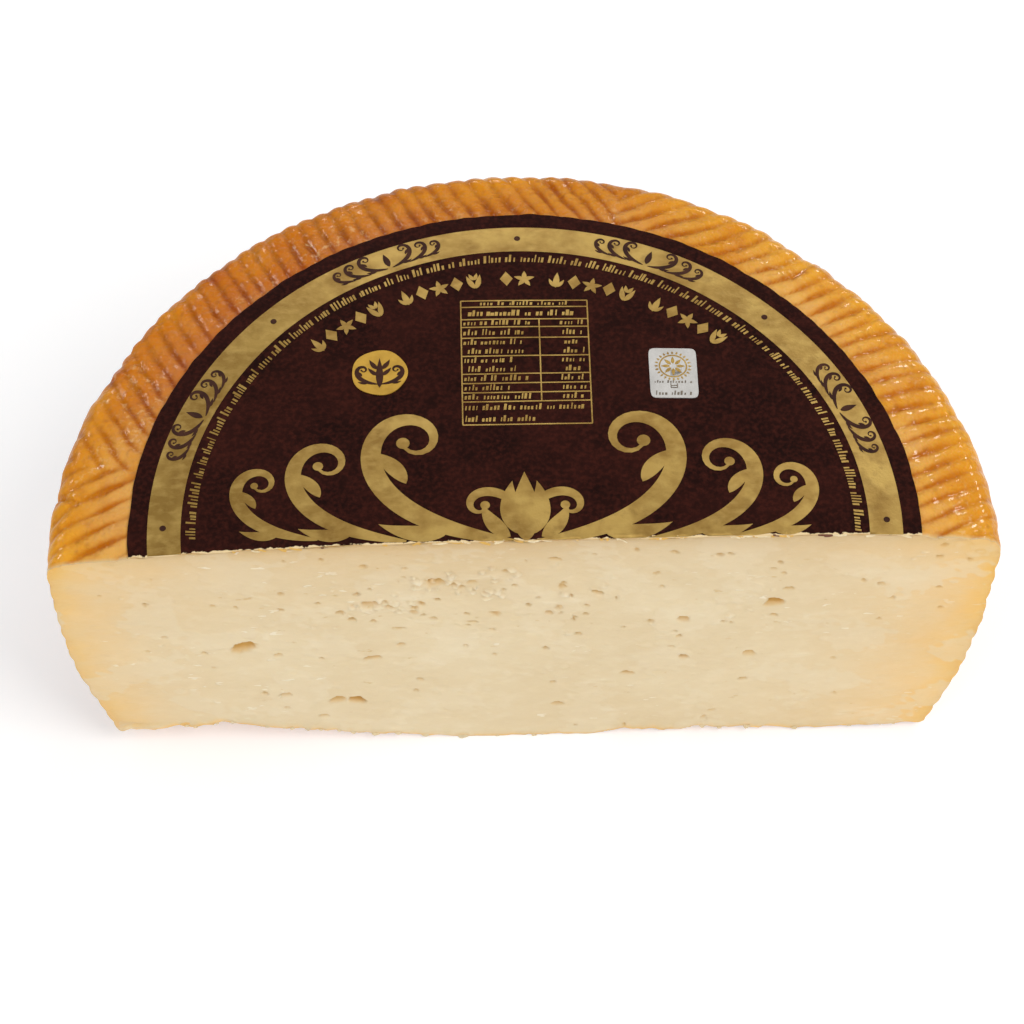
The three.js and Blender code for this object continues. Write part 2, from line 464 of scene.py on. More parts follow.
# %% Edges and grid of the face
CORNER_ROW = len(top_radii) + 6
FACE_COLUMNS = 500
FACE_ROWS = 186


def even_steps(line, count):
    """Points at even distances along a line."""
    step = np.linalg.norm(np.diff(line, axis=0), axis=1)
    along = np.concatenate([[0], np.cumsum(step)])
    at = np.linspace(0, along[-1], count)
    return np.stack([np.interp(at, along, line[:, k]) for k in range(3)], -1)


top_edge = even_steps(np.vstack([skin[CORNER_ROW::-1, -1], skin[1:CORNER_ROW + 1, 0]]), FACE_COLUMNS)
bottom_edge = even_steps(np.vstack([base[:, -1], base[-2::-1, 0]]), FACE_COLUMNS)
left_edge = even_steps(skin[CORNER_ROW:, -1], FACE_ROWS)
right_edge = even_steps(skin[CORNER_ROW:, 0], FACE_ROWS)
across = np.linspace(0, 1, FACE_COLUMNS)[None, :, None]
down = np.linspace(0, 1, FACE_ROWS)[:, None, None]
face = (1 - down) * top_edge[None] + down * bottom_edge[None]
face = face + (1 - across) * left_edge[:, None] + across * right_edge[:, None]
face = face - (1 - down) * ((1 - across) * top_edge[0] + across * top_edge[-1])
face = face - down * ((1 - across) * bottom_edge[0] + across * bottom_edge[-1])
face_x = face[..., 0]
face_z = face[..., 2]
edge_gaps = [
    np.broadcast_to(np.abs(face_z - top_edge[None, :, 2]), face_x.shape),
    np.abs(face_z - bottom_edge[None, :, 2]),
    np.abs(face_x - left_edge[:, None, 0]),
    np.abs(face_x - right_edge[:, None, 0]),
]
edge_gap = np.minimum.reduce(edge_gaps)
print("face", round(float(np.ptp(face_x)), 1), "by", round(float(np.ptp(face_z)), 1), "mm")

# %% [markdown]
# ### Eyes, crumbs and drag marks
# A pressed cheese has few eyes, and most are small slits where curd grains didn't close up. Each is an
# arched ellipse with a wavering edge, scooped out deepest near its top. The knife pulls a tail out of some
# of them and drops crumbs. The large ones are placed one by one, and the many tiny ones are strewn with a
# seeded generator. Some patches are torn instead of cut, and look whiter.

# %% Relief of the face
EYES = [  # middle x and z, width, height, depth, all in mm
    (-65.6, 44.9, 6.0, 4.2, 2.0), (-75, 42.7, 1.4, 1.0, 0.6), (-57.7, 40.9, 2.2, 1.2, 0.7),
    (-47.4, 39, 1.6, 1.0, 0.7), (-35.3, 38.7, 3.8, 1.7, 1.1), (-28.7, 44.6, 2.2, 1.3, 0.8),
    (-13.4, 43.9, 1.4, 1.2, 0.7), (-6.4, 39.4, 1.2, 1.0, 0.6), (5.6, 42, 1.6, 1.2, 0.9),
    (-13.4, 57.7, 1.6, 1.1, 0.8), (-35.5, 63, 5.2, 2.2, 1.0), (-31, 61.6, 3.2, 1.4, 0.8),
    (-20.9, 72, 4.0, 3.4, 1.3), (-16.8, 71, 3.0, 1.6, 0.9), (-12.4, 71.6, 2.4, 1.4, 0.7),
    (-4.9, 76.3, 1.6, 1.0, 0.7), (6.3, 81, 3.4, 1.2, 0.9), (8.7, 57.7, 1.4, 1.0, 0.7),
    (13, 48.2, 2.2, 1.2, 0.7), (31.6, 68, 1.3, 1.0, 0.6), (57, 75.3, 1.4, 1.0, 0.7),
    (58.4, 60.6, 4.6, 3.4, 1.9), (58.9, 54.6, 2.0, 1.1, 0.8), (37.6, 54.1, 3.1, 2.7, 1.3),
    (37.1, 46.3, 1.7, 1.2, 0.8), (35.6, 41.7, 1.9, 0.9, 0.7), (38.9, 36.7, 2.3, 1.7, 1.5),
    (54.4, 37.4, 3.2, 2.5, 0.8), (25.9, 29.4, 3.7, 1.6, 1.1), (54.1, 25.3, 2.5, 1.2, 0.9),
    (8, 26, 1.6, 1.1, 0.7), (-24.1, 28.4, 1.6, 1.1, 0.7), (-24.9, 23.4, 1.2, 1.0, 0.6),
    (-56.3, 22.7, 3.2, 1.5, 0.9), (-61.3, 23.4, 1.8, 1.2, 0.7), (-56.3, 16.6, 1.7, 1.2, 0.7),
    (-44, 19.6, 4.4, 2.8, 1.1), (-39.1, 19.4, 4.1, 3.0, 2.1), (-47.4, 12.3, 2.7, 1.2, 0.8),
    (9.4, 15.6, 3.6, 1.8, 0.7), (47.7, 10.6, 2.0, 1.1, 0.7), (67.3, 17.7, 1.2, 0.9, 0.6),
    (77.3, 17.7, 1.2, 0.9, 0.6), (75.1, 34.1, 1.3, 0.9, 0.6), (84, 52, 1.3, 0.9, 0.6),
]
TAILS = [  # where the knife dragged curd: start x and z, length, height, how far it stands out
    (44, 59.4, 12, 1.0, -0.30), (3, 62.2, 13, 0.8, 0.28), (-9, 41.2, 12, 0.9, -0.22),
    (14, 26.2, 11, 1.2, 0.25), (-3, 48.6, 20, 0.8, -0.22), (-30, 65.4, 12, 0.9, 0.3),
    (-60, 42.6, 9, 0.8, -0.25), (62, 36, 11, 0.9, 0.2), (-16, 73.6, 14, 1.1, 0.35),
    (-97, 8.8, 30, 0.8, -0.35), (-96, 6.8, 34, 1.3, 0.45), (-72, 5.4, 22, 1.0, 0.3),
    (-104, 56, 22, 0.8, -0.2), (78, 8, 16, 3.0, 0.35), (86, 14, 12, 2.0, -0.25),
    (-88, 30, 12, 1.2, 0.2), (20, 12, 14, 1.0, 0.2),
]
NEAR = 6  # rows and columns round a small spot that are worked out

face_plane = np.stack([face_x, face_z], -1)
eye_waver = 0.13 * waves(face_plane, 41, 2.1) + 0.12 * waves(face_plane, 42, 4.5)
small_waver = 0.28 * waves(face_plane, 48, 1.3) + 0.2 * waves(face_plane, 49, 2.6)


def blot(x, z, width, height):
    """Depth of a scooped hollow, 0 to 1: an arched ellipse with a wavering edge, deepest near its top."""
    tilt = 0.25 * math.sin(7 * x + 3 * z)
    upward = (face_z - z - tilt * (face_x - x)) / (height / 2)
    reach = np.hypot((face_x - x) / (width / 2), upward + 0.35 * ((face_x - x) / (width / 2)) ** 2)
    return (1 - ramp(reach + eye_waver, 0.7, 1.15)) * (0.3 + 0.7 * ramp(upward, -0.9, 0.55))


def small_blots(seed, count, low, high, cluster=None):
    """Many tiny round spots, strewn over the face or round the middle of a cluster, which is given by its
    x, z, width and height. Only the points near each spot are worked out."""
    rng = np.random.default_rng(seed)
    total = np.zeros_like(face_x)
    column_step = np.ptp(face_x[0]) / (FACE_COLUMNS - 1)
    row_step = np.ptp(face_z[:, 0]) / (FACE_ROWS - 1)
    for _ in range(count):
        x, z = rng.uniform([-104, 3], [104, 84])
        if cluster:
            x, z = rng.normal(cluster[:2], cluster[2:])
        size = low + (high - low) * rng.random() ** 2.2
        stretch = rng.uniform(0.8, 1.6)
        column = int(np.clip((x - face_x[FACE_ROWS // 2, 0]) / column_step, NEAR, FACE_COLUMNS - NEAR - 1))
        row = int(np.clip((TOP_EDGE - 0.1 - z) / row_step, NEAR, FACE_ROWS - NEAR - 1))
        part = (slice(row - NEAR, row + NEAR + 1), slice(column - NEAR, column + NEAR + 1))
        reach = np.hypot((face_x[part] - x) / stretch, face_z[part] - z) / (size / 2) + small_waver[part]
        total[part] = np.maximum(total[part], (1 - ramp(reach, 0.5, 1.3)) * min(1.0, 0.5 + size / 2))
    return total


pits = np.zeros_like(face_x)
for x, z, width, height, depth in EYES:
    pits = np.maximum(pits, depth * blot(x, z, width, height))
pits = np.maximum(pits, 0.55 * small_blots(51, 150, 0.7, 1.7))
pits = np.maximum(pits, 0.7 * small_blots(52, 60, 0.8, 1.9, (-5, 55, 28, 14)))
pits = np.maximum(pits, 0.8 * small_blots(53, 30, 0.8, 1.8, (-42, 18, 5, 3)))
crumbs = 0.35 * small_blots(54, 120, 0.7, 1.4) + 0.7 * small_blots(55, 34, 0.8, 2.0, (-15, 71, 6, 2.6))
crumbs += 0.6 * small_blots(56, 30, 0.8, 1.9, (-43, 18, 5, 3)) + 0.9 * blot(9.4, 65.6, 3.0, 2.0)
crumbs += 0.5 * small_blots(57, 26, 0.8, 1.7, (-33, 62, 5, 2.5)) + 0.5 * blot(11, 48.4, 3.0, 1.4)
drags = np.zeros_like(face_x)
for x, z, length, height, out in TAILS:
    line = z + 0.5 * np.sin((face_x - x) / 5)
    along = ramp(face_x, x - 1, x + 2) * (1 - ramp(face_x, x + length * 0.5, x + length))
    streak = 0.6 + 0.4 * waves(np.stack([face_x * 0.25, face_z * 1.6], -1), 43, 2.0)
    drags += out * along * np.exp(-((face_z - line) / height) ** 2) * streak
torn = ramp(waves(face_plane * [1, 1.3], 44, 26) + 0.3 * waves(face_plane, 45, 3.5), 0.25, 0.42)
slow = 0.25 * waves(face_plane, 46, 55) + 0.07 * waves(face_plane, 47, 14) - 0.12 * torn
inside = ramp(edge_gap, 0.0, 2.0)
relief = pits - np.minimum(crumbs, 0.9) - drags + slow
face[..., 1] = CUT_Y + relief * inside
print("deepest eye", round(float(pits.max()), 2), "mm")

# %% [markdown]
# The finish of the paste depends on how near the rind is, so its masks are worked out here, where the
# distances to the four edges are known, and stay on the points. The ripening mask is 1 where the paste is
# amber: it fades away from each edge at its own rate, and near the top at the left it also carries a little
# painted shade. The band under the label is painted shade: greyer, and darker towards the left. A mask
# that is a number on each point follows the shape exactly.

# %% Cut face object
from_top, from_base, from_left, from_right = edge_gaps
ripe_and_top_shade = np.maximum(0.6 * np.exp(-from_left / 11), 0.85 * np.exp(-from_right / 15))
ripe_and_top_shade = np.maximum(ripe_and_top_shade, 0.3 * np.exp(-from_top / 1.2))
ripe_and_top_shade = np.maximum(ripe_and_top_shade, 0.75 * np.exp(-from_base / 0.8))
# Painted shade: a little of the amber colour near the top edge, more towards the left.
ripe_and_top_shade += 0.16 * np.exp(-from_top / 18) * ramp(-face_x, -70, 50)
upper_corner = np.exp(-from_top / 16 - np.minimum(from_left, from_right) / 24)
ripe_and_top_shade = np.maximum(ripe_and_top_shade * (1 - 0.3 * torn), upper_corner)
# Painted shade: a greyer band under the label, darker towards the left, and none in the upper corners.
shade_under_label = np.exp(-from_top / 10) * (0.55 + 0.45 * ramp(-face_x, -40, 60))
shade_under_label = np.maximum(shade_under_label, 1.6 * np.exp(-from_top / 5)) * (1 - upper_corner)
inside_cheese = [0, CUT_Y + 15, 45]
points, fan = close_with_fan(face.reshape(-1, 3), grid_border(FACE_ROWS, FACE_COLUMNS), inside_cheese)
paste = add_piece("paste", points, [grid_faces(FACE_ROWS, FACE_COLUMNS), fan], {
    "ripe_and_top_shade": np.append(np.clip(ripe_and_top_shade, 0, 1).ravel(), 0),
    "pit": np.append(np.clip(pits, 0, 1).ravel(), 0),
    "shade_under_label": np.append(shade_under_label.ravel(), 0),
    "crumb": np.append(np.clip(crumbs + np.maximum(drags, 0) * 1.5 + 0.16 * torn, 0, 1).ravel(), 0),
})
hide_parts("cheese")

# %% [markdown]
# ## The label
# The label is a round paper, cut together with the cheese. It lies on the crowned top and follows the
# same slow unevenness, and its rim sinks slightly into the ribs. Paper and ink are both thin closed
# sheets: an upper and a lower grid with a strip between their edges.

# %% Laying flat shapes on the top
LABEL_RADIUS = 90.0
LABEL_BACK = 2.6
LABEL_PAST = LABEL_BACK + CUT_PAST_AXIS
PAPER_LOW = 0.04
PAPER = 0.3
INK = 0.05
INK_SINK = 0.02
INK_STEP = 0.002
PRINT_TURN = math.radians(-1.1)
CLEAR_OF_CUT = 0.12


def lay_on_top(flat, above):
    """Flat positions, in mm from the label's middle, moved onto the top of the wheel. `above` is the
    height over the rind, measured upwards, and may differ from point to point."""
    x = flat[..., 0]
    y = flat[..., 1] + LABEL_BACK
    z = top_height(np.hypot(x, y))
    points = np.stack([x, y, z], -1)
    sink = 0.3 * (1 - face_ribs(points)) * ramp(np.hypot(flat[..., 0], flat[..., 1]), 85.5, 90.5)
    points[..., 2] = z + dimple(points) + above - sink
    return settle(points)


def closed_sheet(upper, lower):
    """Points and faces of a thin solid between two grids of the same size. A side that is shrunk to one
    point needs no strip, and neither do two sides that meet."""
    rows, columns = upper.shape[:2]
    count = rows * columns
    top = grid_faces(rows, columns)
    index = np.arange(count).reshape(rows, columns)
    lines = [index[0], index[-1, ::-1]]
    if not np.allclose(upper[:, 0], upper[:, -1], atol=1e-6):
        lines += [index[::-1, 0], index[:, -1]]
    points = np.vstack([upper.reshape(-1, 3), lower.reshape(-1, 3)])
    faces = [top, top[:, ::-1] + count]
    for line in lines:
        if np.ptp(points[line], axis=0).max() > 1e-6:
            faces.append(np.stack([line[:-1], line[:-1] + count, line[1:] + count, line[1:]], -1))
    return points, np.vstack(faces)


def add_print(name, grids, low, high, replaced=None, slot="gold_foil"):
    """One object of many flat grids laid on the label, each from `low` to `high` above the paper. Each
    lies 2 µm higher than the last, so that strokes that cross don't share a surface."""
    parts = []
    cosine = math.cos(PRINT_TURN)
    sine = math.sin(PRINT_TURN)
    turn = np.array([[cosine, sine], [-sine, cosine]])
    for number, grid in enumerate(grids):
        flat = grid @ turn
        lift = PAPER_LOW + PAPER + INK_STEP * (number % 12)
        parts.append(closed_sheet(lay_on_top(flat, lift + high), lay_on_top(flat, lift + low)))
    points, faces = join_parts(parts)
    piece = add_piece(name, points, [faces], sharp=40)
    trim_at_cut(piece)
    if replaced:
        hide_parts(replaced)
    return piece


def trim_at_cut(piece):
    """Cuts off what reaches past the cut plane and closes what is left."""
    shape = bmesh.new()
    shape.from_mesh(piece.data)
    everything = shape.verts[:] + shape.edges[:] + shape.faces[:]
    plane_point = (0, (CUT_Y + CLEAR_OF_CUT) * MM, 0)
    bmesh.ops.bisect_plane(shape, geom=everything, dist=1e-7, plane_co=plane_point,
                           plane_no=(0, -1, 0), clear_outer=True)
    open_edges = [edge for edge in shape.edges if edge.is_boundary]
    bmesh.ops.holes_fill(shape, edges=open_edges, sides=0)
    loose = [vert for vert in shape.verts if not vert.link_faces]
    bmesh.ops.delete(shape, geom=loose, context="VERTS")
    shape.to_mesh(piece.data)
    shape.free()


# %% [markdown]
# The paper is one sheet: a cut disc laid on the top. A real label is never quite round once it has dried
# on, so its rim wavers by a tenth of a millimetre or so. Along the cut the knife frayed it, which two
# waves of different lengths show, each keeping only its upper half.

# %% Label paper
RIM_FROM = 84
paper_radii = np.concatenate([np.linspace(0, RIM_FROM, 22), np.linspace(RIM_FROM, LABEL_RADIUS, 10)[1:]])
paper_angles = np.linspace(0, np.pi, 481)
paper_x, paper_y = half_disc(paper_radii, paper_angles, LABEL_PAST)
paper_flat = np.stack([paper_x, paper_y], -1)
paper_reach = 1 + 0.0016 * waves(paper_flat, 61, 9) * ramp(paper_radii, RIM_FROM, LABEL_RADIUS)[:, None]
frayed = 0.35 * np.maximum(0, waves(paper_flat, 62, 4)) + 0.25 * np.maximum(0, waves(paper_flat, 63, 1.5))
frayed = frayed * np.exp(-((paper_y + LABEL_PAST) / 0.4) ** 2)
paper_flat = paper_flat * paper_reach[..., None]
paper_flat[..., 1] = np.maximum(paper_flat[..., 1], -LABEL_PAST) + frayed
points, quads = closed_sheet(lay_on_top(paper_flat, PAPER_LOW + PAPER), lay_on_top(paper_flat, PAPER_LOW))
label_sheet = add_piece("label_sheet", points, [quads], sharp=40)
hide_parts("label")

# %% [markdown]
# ### Print
# Everything printed is a flat shape first: a grid of points in the plane of the label, then laid on the
# crowned paper. Round things are rings of points. Pen strokes are a line with a width, and the line is a
# volute, whose bend grows by an equal ratio, as in scrollwork. A shape drawn straight is wrapped
# round the label by turning its x into an angle.

# %% Flat shapes
STRAIGHT = 1e-6  # a bend that is too small to see, because an equal ratio can't start from 0
LINE_POINTS = 56


def arc_grid(inner, outer, start, end, steps, rings=3):
    """A piece of a flat ring: rows from the inner to the outer radius, columns from start to end."""
    angle = np.radians(np.linspace(start, end, steps))
    r = np.linspace(inner, outer, rings)[:, None]
    return np.stack([r * np.cos(angle), r * np.sin(angle)], -1)


def pen_line(start, heading, length, first_bend, last_bend, count=LINE_POINTS):
    """A volute in the plane. Its bend, in degrees per mm, grows by an equal ratio at each step. The
    heading is the running sum of the bend, and the line is the running sum of the heading."""
    step = length / (count - 1)
    bend = math.copysign(step, first_bend) * np.geomspace(abs(first_bend), abs(last_bend), count)
    angle = np.radians(heading + np.concatenate([[0], np.cumsum(bend)[:-1]]))
    moves = np.stack([np.cos(angle), np.sin(angle)], -1) * step
    return np.array(start) + np.concatenate([[[0, 0]], np.cumsum(moves, 0)[:-1]])


def ribbon(line, width, rings=3):
    """A flat stroke: at each point of the line, its width is laid out square to the line's direction."""
    along = np.gradient(line, axis=0)
    along /= np.linalg.norm(along, axis=1)[:, None] + 1e-9
    square = np.stack([-along[:, 1], along[:, 0]], -1)
    reach = np.linspace(-0.5, 0.5, rings)[None, :, None] * np.broadcast_to(width, len(line))[:, None, None]
    return line[:, None, :] + square[:, None, :] * reach


def stroke(start, heading, length, first_bend, last_bend, widest, ball):
    """A pen stroke along a volute: thin at its ends, widest before its middle, with a ball at its end."""
    line = pen_line(start, heading, length, first_bend, last_bend)
    t = np.linspace(0, 1, LINE_POINTS) ** 0.8
    return [ribbon(line, widest * (0.14 + 0.86 * np.sin(np.pi * t) ** 1.1)), dot(line[-1], ball)]


def dot(centre, radius):
    """A round dot of sixteen sides."""
    return np.array(centre) + arc_grid(0, radius, 0, 360, 17, 2)


def leaf(start, heading, length, widest, bend=0.5, count=16):
    """A pointed leaf: a bent line whose width is a sine, so both ends are sharp."""
    line = pen_line(start, heading, length, bend, bend, count)
    t = np.linspace(0, 1, count)
    return ribbon(line, widest * np.sin(np.pi * t ** 0.75) + 0.02)


def bar(x, y, width, height, slant=0.0):
    """A small upright bar, which may lean."""
    corner = np.array([[[-0.5, -0.5], [0.5, -0.5]], [[-0.5, 0.5], [0.5, 0.5]]]) * [width, height]
    corner[..., 0] += corner[..., 1] * slant
    return corner + [x, y]


def rule(start, end, width):
    """A straight line with a point about every 1.5 mm, so that it can follow the crown."""
    length = math.hypot(end[0] - start[0], end[1] - start[1])
    return ribbon(np.linspace(start, end, max(2, int(length / 1.5))), width, 2)


def mirrored(grids):
    """The grids and their mirror images about the upright line x = 0."""
    return grids + [np.stack([-grid[..., 0], grid[..., 1]], -1)[::-1] for grid in grids]


def wrapped(grids, radius, degrees):
    """Grids drawn about the origin, bent round the label so that the origin is at this radius and angle."""
    turned = []
    for grid in grids:
        angle = math.radians(degrees) - grid[..., 0] / radius
        reach = radius + grid[..., 1]
        turned.append(np.stack([reach * np.cos(angle), reach * np.sin(angle)], -1))
    return turned


def moved(grids, x, y):
    """The grids moved in the plane."""
    return [grid + [x, y] for grid in grids]


# %% [markdown]
# The large ornament is scrollwork that mirrors about its middle. Each frond is a volute with a ball at
# its end and two leaves, and the fronds get smaller towards the sides. The band carries small fronds in
# dark ink between its dots.

# %% Scrollwork
BAND_INNER = 78.0
BAND_OUTER = 85.6
SPRIG_RADIUS = 81.6
DOT_RADIUS = 82.05


def frond(x, y, size, weight):
    """A curling frond: a volute that rises from (x, y) and winds up into a ball, with two leaves."""
    grids = stroke((x, y), 8, 3.05 * size, 16 / size, 560 / size, weight, 0.06 * size)
    grids += [leaf((x + 0.62 * size, y + 0.1 * size), -8, 0.62 * size, 0.16 * size, 60 / size)]
    grids += [leaf((x + 0.98 * size, y + 0.62 * size), 66, 0.5 * size, 0.15 * size, -90 / size)]
    return grids


def scrollwork():
    """Fronds of falling size on both sides of a small plume of leaves."""
    half = frond(1.5, -6.0, 26, 5.0) + frond(27, -5.5, 20, 4.0) + frond(47, -4.6, 14.5, 3.2)
    half += [leaf((1.0, -4), 62, 15, 5.0, 3.0), leaf((3.5, -4.6), 34, 11, 3.8, 4.0)]
    half += stroke((0.6, 2), 58, 22, -3.0, -50, 2.4, 1.1)
    return mirrored(half) + [leaf((0, -6), 90, 19, 6.4, STRAIGHT)]


def band_sprig():
    """A small mirrored sprig for the band."""
    half = frond(0.6, -2.1, 4.4, 1.05) + frond(5.0, -2.0, 3.9, 0.95) + frond(9.0, -1.8, 3.3, 0.85)
    return mirrored(half) + [leaf((0, -1.6), 90, 4.2, 1.5, STRAIGHT)]


gold_band = add_print("gold_band", [arc_grid(BAND_INNER, BAND_OUTER, -7, 187, 260, 5)], -INK_SINK, INK)
scroll_print = add_print("scroll_print", scrollwork(), -INK_SINK, INK)
sprigs = []
for degrees in (22.5, 67.5, 112.5, 157.5):
    sprigs += wrapped(band_sprig(), SPRIG_RADIUS, degrees)
for degrees in (0, 45, 90, 135, 180):
    sprigs += wrapped([dot((0, 0), 0.75)], DOT_RADIUS, degrees)
band_ink = add_print("band_ink", sprigs, INK - INK_SINK, 2 * INK, slot="label_paper")

# %% [markdown]
# The rest of the print only has to read as ornament. A row of small leaves, stars, lozenges and tulips
# stands in five groups on an arc, and a border of fine dashes runs inside the gold band. The dashes differ
# in height and width by seeded chance, as a line of small print does from afar. None of it is writing.

# %% Rows of small ornaments
ROW_RADIUS = 69.4
LONG_GROUP = ("leaves", "lozenge", "star", "lozenge", "tulip")
SHORT_GROUP = ("lozenge", "star")
ROW_START = 133.2
ROW_STEP = 3.52
BORDER_RADIUS = 75.8
DASH_STEP = 0.62
DASH_WIDTH = 0.3
dice = np.random.default_rng(71)


def small_ornament(kind):
    """One of four small figures, about 4 mm high: three leaves, a star, a lozenge or a tulip."""
    if kind == "leaves":
        return [leaf((0, -2.3), 90, 4.7, 1.5, STRAIGHT)] + mirrored([leaf((0.1, -2.0), 38, 2.9, 0.95, 12)])
    if kind == "star":
        points = (18, 90, 162, 234, 306)
        return [leaf((0, -0.7), heading, 2.5, 1.1, STRAIGHT) + [0, 0.5] for heading in points]
    if kind == "lozenge":
        return [arc_grid(0, 2.2, 0, 360, 5, 2) * [0.7, 1.0]]
    return mirrored([leaf((0.1, -2.2), 62, 4.4, 1.3, 4.0), leaf((0.1, 0.4), 62, 2.2, 0.9, 6.0)])


row_grids = []
degrees = ROW_START
for group in (LONG_GROUP, LONG_GROUP, SHORT_GROUP, LONG_GROUP, LONG_GROUP):
    for kind in group:
        row_grids += wrapped(small_ornament(kind), ROW_RADIUS, degrees)
        degrees -= ROW_STEP
    degrees -= 0.8 * ROW_STEP
row_print = add_print("row_print", row_grids, -INK_SINK, INK)


def dash_row(start, end, low, high, step, weight):
    """Fine upright dashes of uneven height along x, in runs of two to eight with gaps between them."""
    grids = []
    x = start
    run = 4
    while x < end:
        tall = dice.random() < 0.25
        height = high - low if tall else (high - low) * dice.uniform(0.5, 0.75)
        width = weight * dice.uniform(0.8, 2.1)
        grids.append(bar(x, low + height / 2, width, height, 0.12))
        x += step * dice.uniform(0.8, 1.25) + width * 0.5
        run -= 1
        if run == 0:
            run = int(dice.integers(2, 9))
            x += step * 1.3
    return grids


half_border = 0.5 * np.pi * BORDER_RADIUS
dashes = dash_row(-half_border - 3, half_border + 3, -1.15, 1.1, DASH_STEP, DASH_WIDTH)
fine_dashes = add_print("fine_dashes", wrapped(dashes, BORDER_RADIUS, 90), -INK_SINK, INK)

# %% [markdown]
# The ruled panel is a frame with rules between its rows and one upright rule, as a printed table has. The
# rows aren't equally high, so their edges are a list, and each row holds one or two lines of dashes.

# %% Ruled panel
PANEL = (1.13, 44.5, 29.9, 36.2)  # middle x and y, width and height
PANEL_LINE = 0.32
ROW_EDGES = [0, 1.9, 5.6, 7.9, 11.1, 16.4, 21.6, 24.3, 27.0, 29.6, 36.2]
PANEL_SPLIT = 0.615


def ruled_panel():
    """A frame, rules between rows, an upright rule, and dashes in the rows."""
    middle_x, middle_y, width, height = PANEL
    left = middle_x - width / 2
    top = middle_y + height / 2
    grids = []
    for edge in ROW_EDGES:
        grids.append(rule((left, top - edge), (left + width, top - edge), PANEL_LINE))
    for x in (left, left + width):
        grids.append(rule((x, top), (x, top - height), PANEL_LINE))
    split_x = left + width * PANEL_SPLIT
    grids.append(rule((split_x, top - ROW_EDGES[2]), (split_x, top - ROW_EDGES[-2]), PANEL_LINE))
    for number, (upper, lower) in enumerate(zip(ROW_EDGES[:-1], ROW_EDGES[1:])):
        lines = 2 if lower - upper > 4 else 1
        line_step = (lower - upper) / lines
        for line in range(lines):
            base_line = top - upper - line_step * (line + 1) + 0.28 * line_step
            tall = min(1.7, 0.6 * line_step)
            if number in (0, 1):
                share = (0.16, 0.84) if number == 0 else (0.07, 0.93)
                runs = [(left + share[0] * width, left + share[1] * width)]
            elif number == len(ROW_EDGES) - 2:
                runs = [(left + 0.8, left + width * (0.96 if line == 0 else 0.55))]
            else:
                runs = [(left + 0.8 + 0.9 * line, left + width * dice.uniform(0.3, 0.55)),
                        (left + width * dice.uniform(0.78, 0.86), left + width * 0.96)]
            weight = 1.4 * DASH_WIDTH if number == 1 else DASH_WIDTH
            for start, end in runs:
                grids += dash_row(start, end, base_line, base_line + tall, DASH_STEP, weight)
    return grids


panel_print = add_print("panel_print", ruled_panel(), -INK_SINK, INK)

# %% [markdown]
# ### Seal and sticker
# Both are separate labels stuck on the first. The seal is a gold foil that is nearly round, with a dark
# sprig. The sticker is silver-white with a ring of rays, a small square and two rows of dashes. Both are
# grids of rings about their middle, so the same helper lays them on the crowned top.

# %% Seal and sticker
SEAL_AT = (-33.0, 41.9)
SEAL_RADIUS = 6.5
STICKER_AT = (35.5, 40.7)
STICKER_SIZE = (11.2, 14.6)
STICKER_SQUARENESS = 10.4
STUCK = 0.22
INK_ON_STUCK = (STUCK - INK_SINK, STUCK + INK)


def waved_disc(centre, radius, lobes, wave):
    """A disc whose radius follows a low cosine, so that its edge has round lobes."""
    grid = arc_grid(0, radius, 0, 360, 97, 7)
    angle = np.linspace(0, 2 * np.pi, 97)
    return np.array(centre) + grid * (1 + wave * np.cos(lobes * angle))[None, :, None]


def rounded_block(centre, width, height):
    """A rectangle with rounded corners: rings that grow from its middle to a superellipse."""
    angle = np.linspace(0, 2 * np.pi, 73)
    power = 2 / STICKER_SQUARENESS
    edge_x = np.sign(np.cos(angle)) * np.abs(np.cos(angle)) ** power * width / 2
    edge_y = np.sign(np.sin(angle)) * np.abs(np.sin(angle)) ** power * height / 2
    return np.array(centre) + np.linspace(0, 1, 6)[:, None, None] * np.stack([edge_x, edge_y], -1)


def rosette(centre, inner, length, width, count):
    """Leaves that stand round a centre."""
    grids = []
    for k in range(count):
        heading = 360 * k / count
        a = math.radians(heading)
        foot = np.array(centre) + inner * np.array([math.cos(a), math.sin(a)])
        grids.append(leaf(foot, heading, length, width, STRAIGHT, 8))
    return grids


seal_disc = add_print("seal_disc", [waved_disc(SEAL_AT, SEAL_RADIUS, 5, 0.018)], 0.0, STUCK, "gold_seal")
seal_sprig = mirrored(frond(0.3, -3.4, 3.9, 1.1)) + [leaf((0, -4.4), 90, 8.6, 1.7, STRAIGHT)]
seal_sprig += mirrored([leaf((0.4, 1.0), 40, 3.4, 1.1, 9), leaf((0.4, -0.8), 30, 3.2, 1.0, 9)])
seal_ink = add_print("seal_ink", moved(seal_sprig, *SEAL_AT), *INK_ON_STUCK, slot="label_paper")

sticker_block = rounded_block(STICKER_AT, *STICKER_SIZE)
sticker_sheet = add_print("sticker_sheet", [sticker_block], 0.0, STUCK, "silver_sticker", "silver_foil")
ring_at = (STICKER_AT[0], STICKER_AT[1] + 2.0)
sticker_gold = [arc_grid(3.0, 3.35, 0, 360, 49, 2) + ring_at]
sticker_gold += rosette(ring_at, 0.7, 2.1, 0.8, 8)
sticker_gold += rosette(ring_at, 3.55, 0.8, 0.45, 24)
sticker_mark = add_print("sticker_mark", sticker_gold, *INK_ON_STUCK)
sticker_grey = [bar(x, -3.75, 0.22, 1.2) for x in (-0.75, 0.75)]
sticker_grey += [bar(0, y, 1.6, 0.22) for y in (-3.75, -4.35)]
sticker_grey += moved(dash_row(-4.2, 4.2, -0.6, 0.6, 0.55, 0.26), 0, -5.9)
sticker_grey += moved(dash_row(-4.4, 4.4, -0.35, 0.35, 0.5, 0.22), 0, -2.6)
sticker_ink = add_print("sticker_ink", moved(sticker_grey, *STICKER_AT), *INK_ON_STUCK, slot="label_paper")

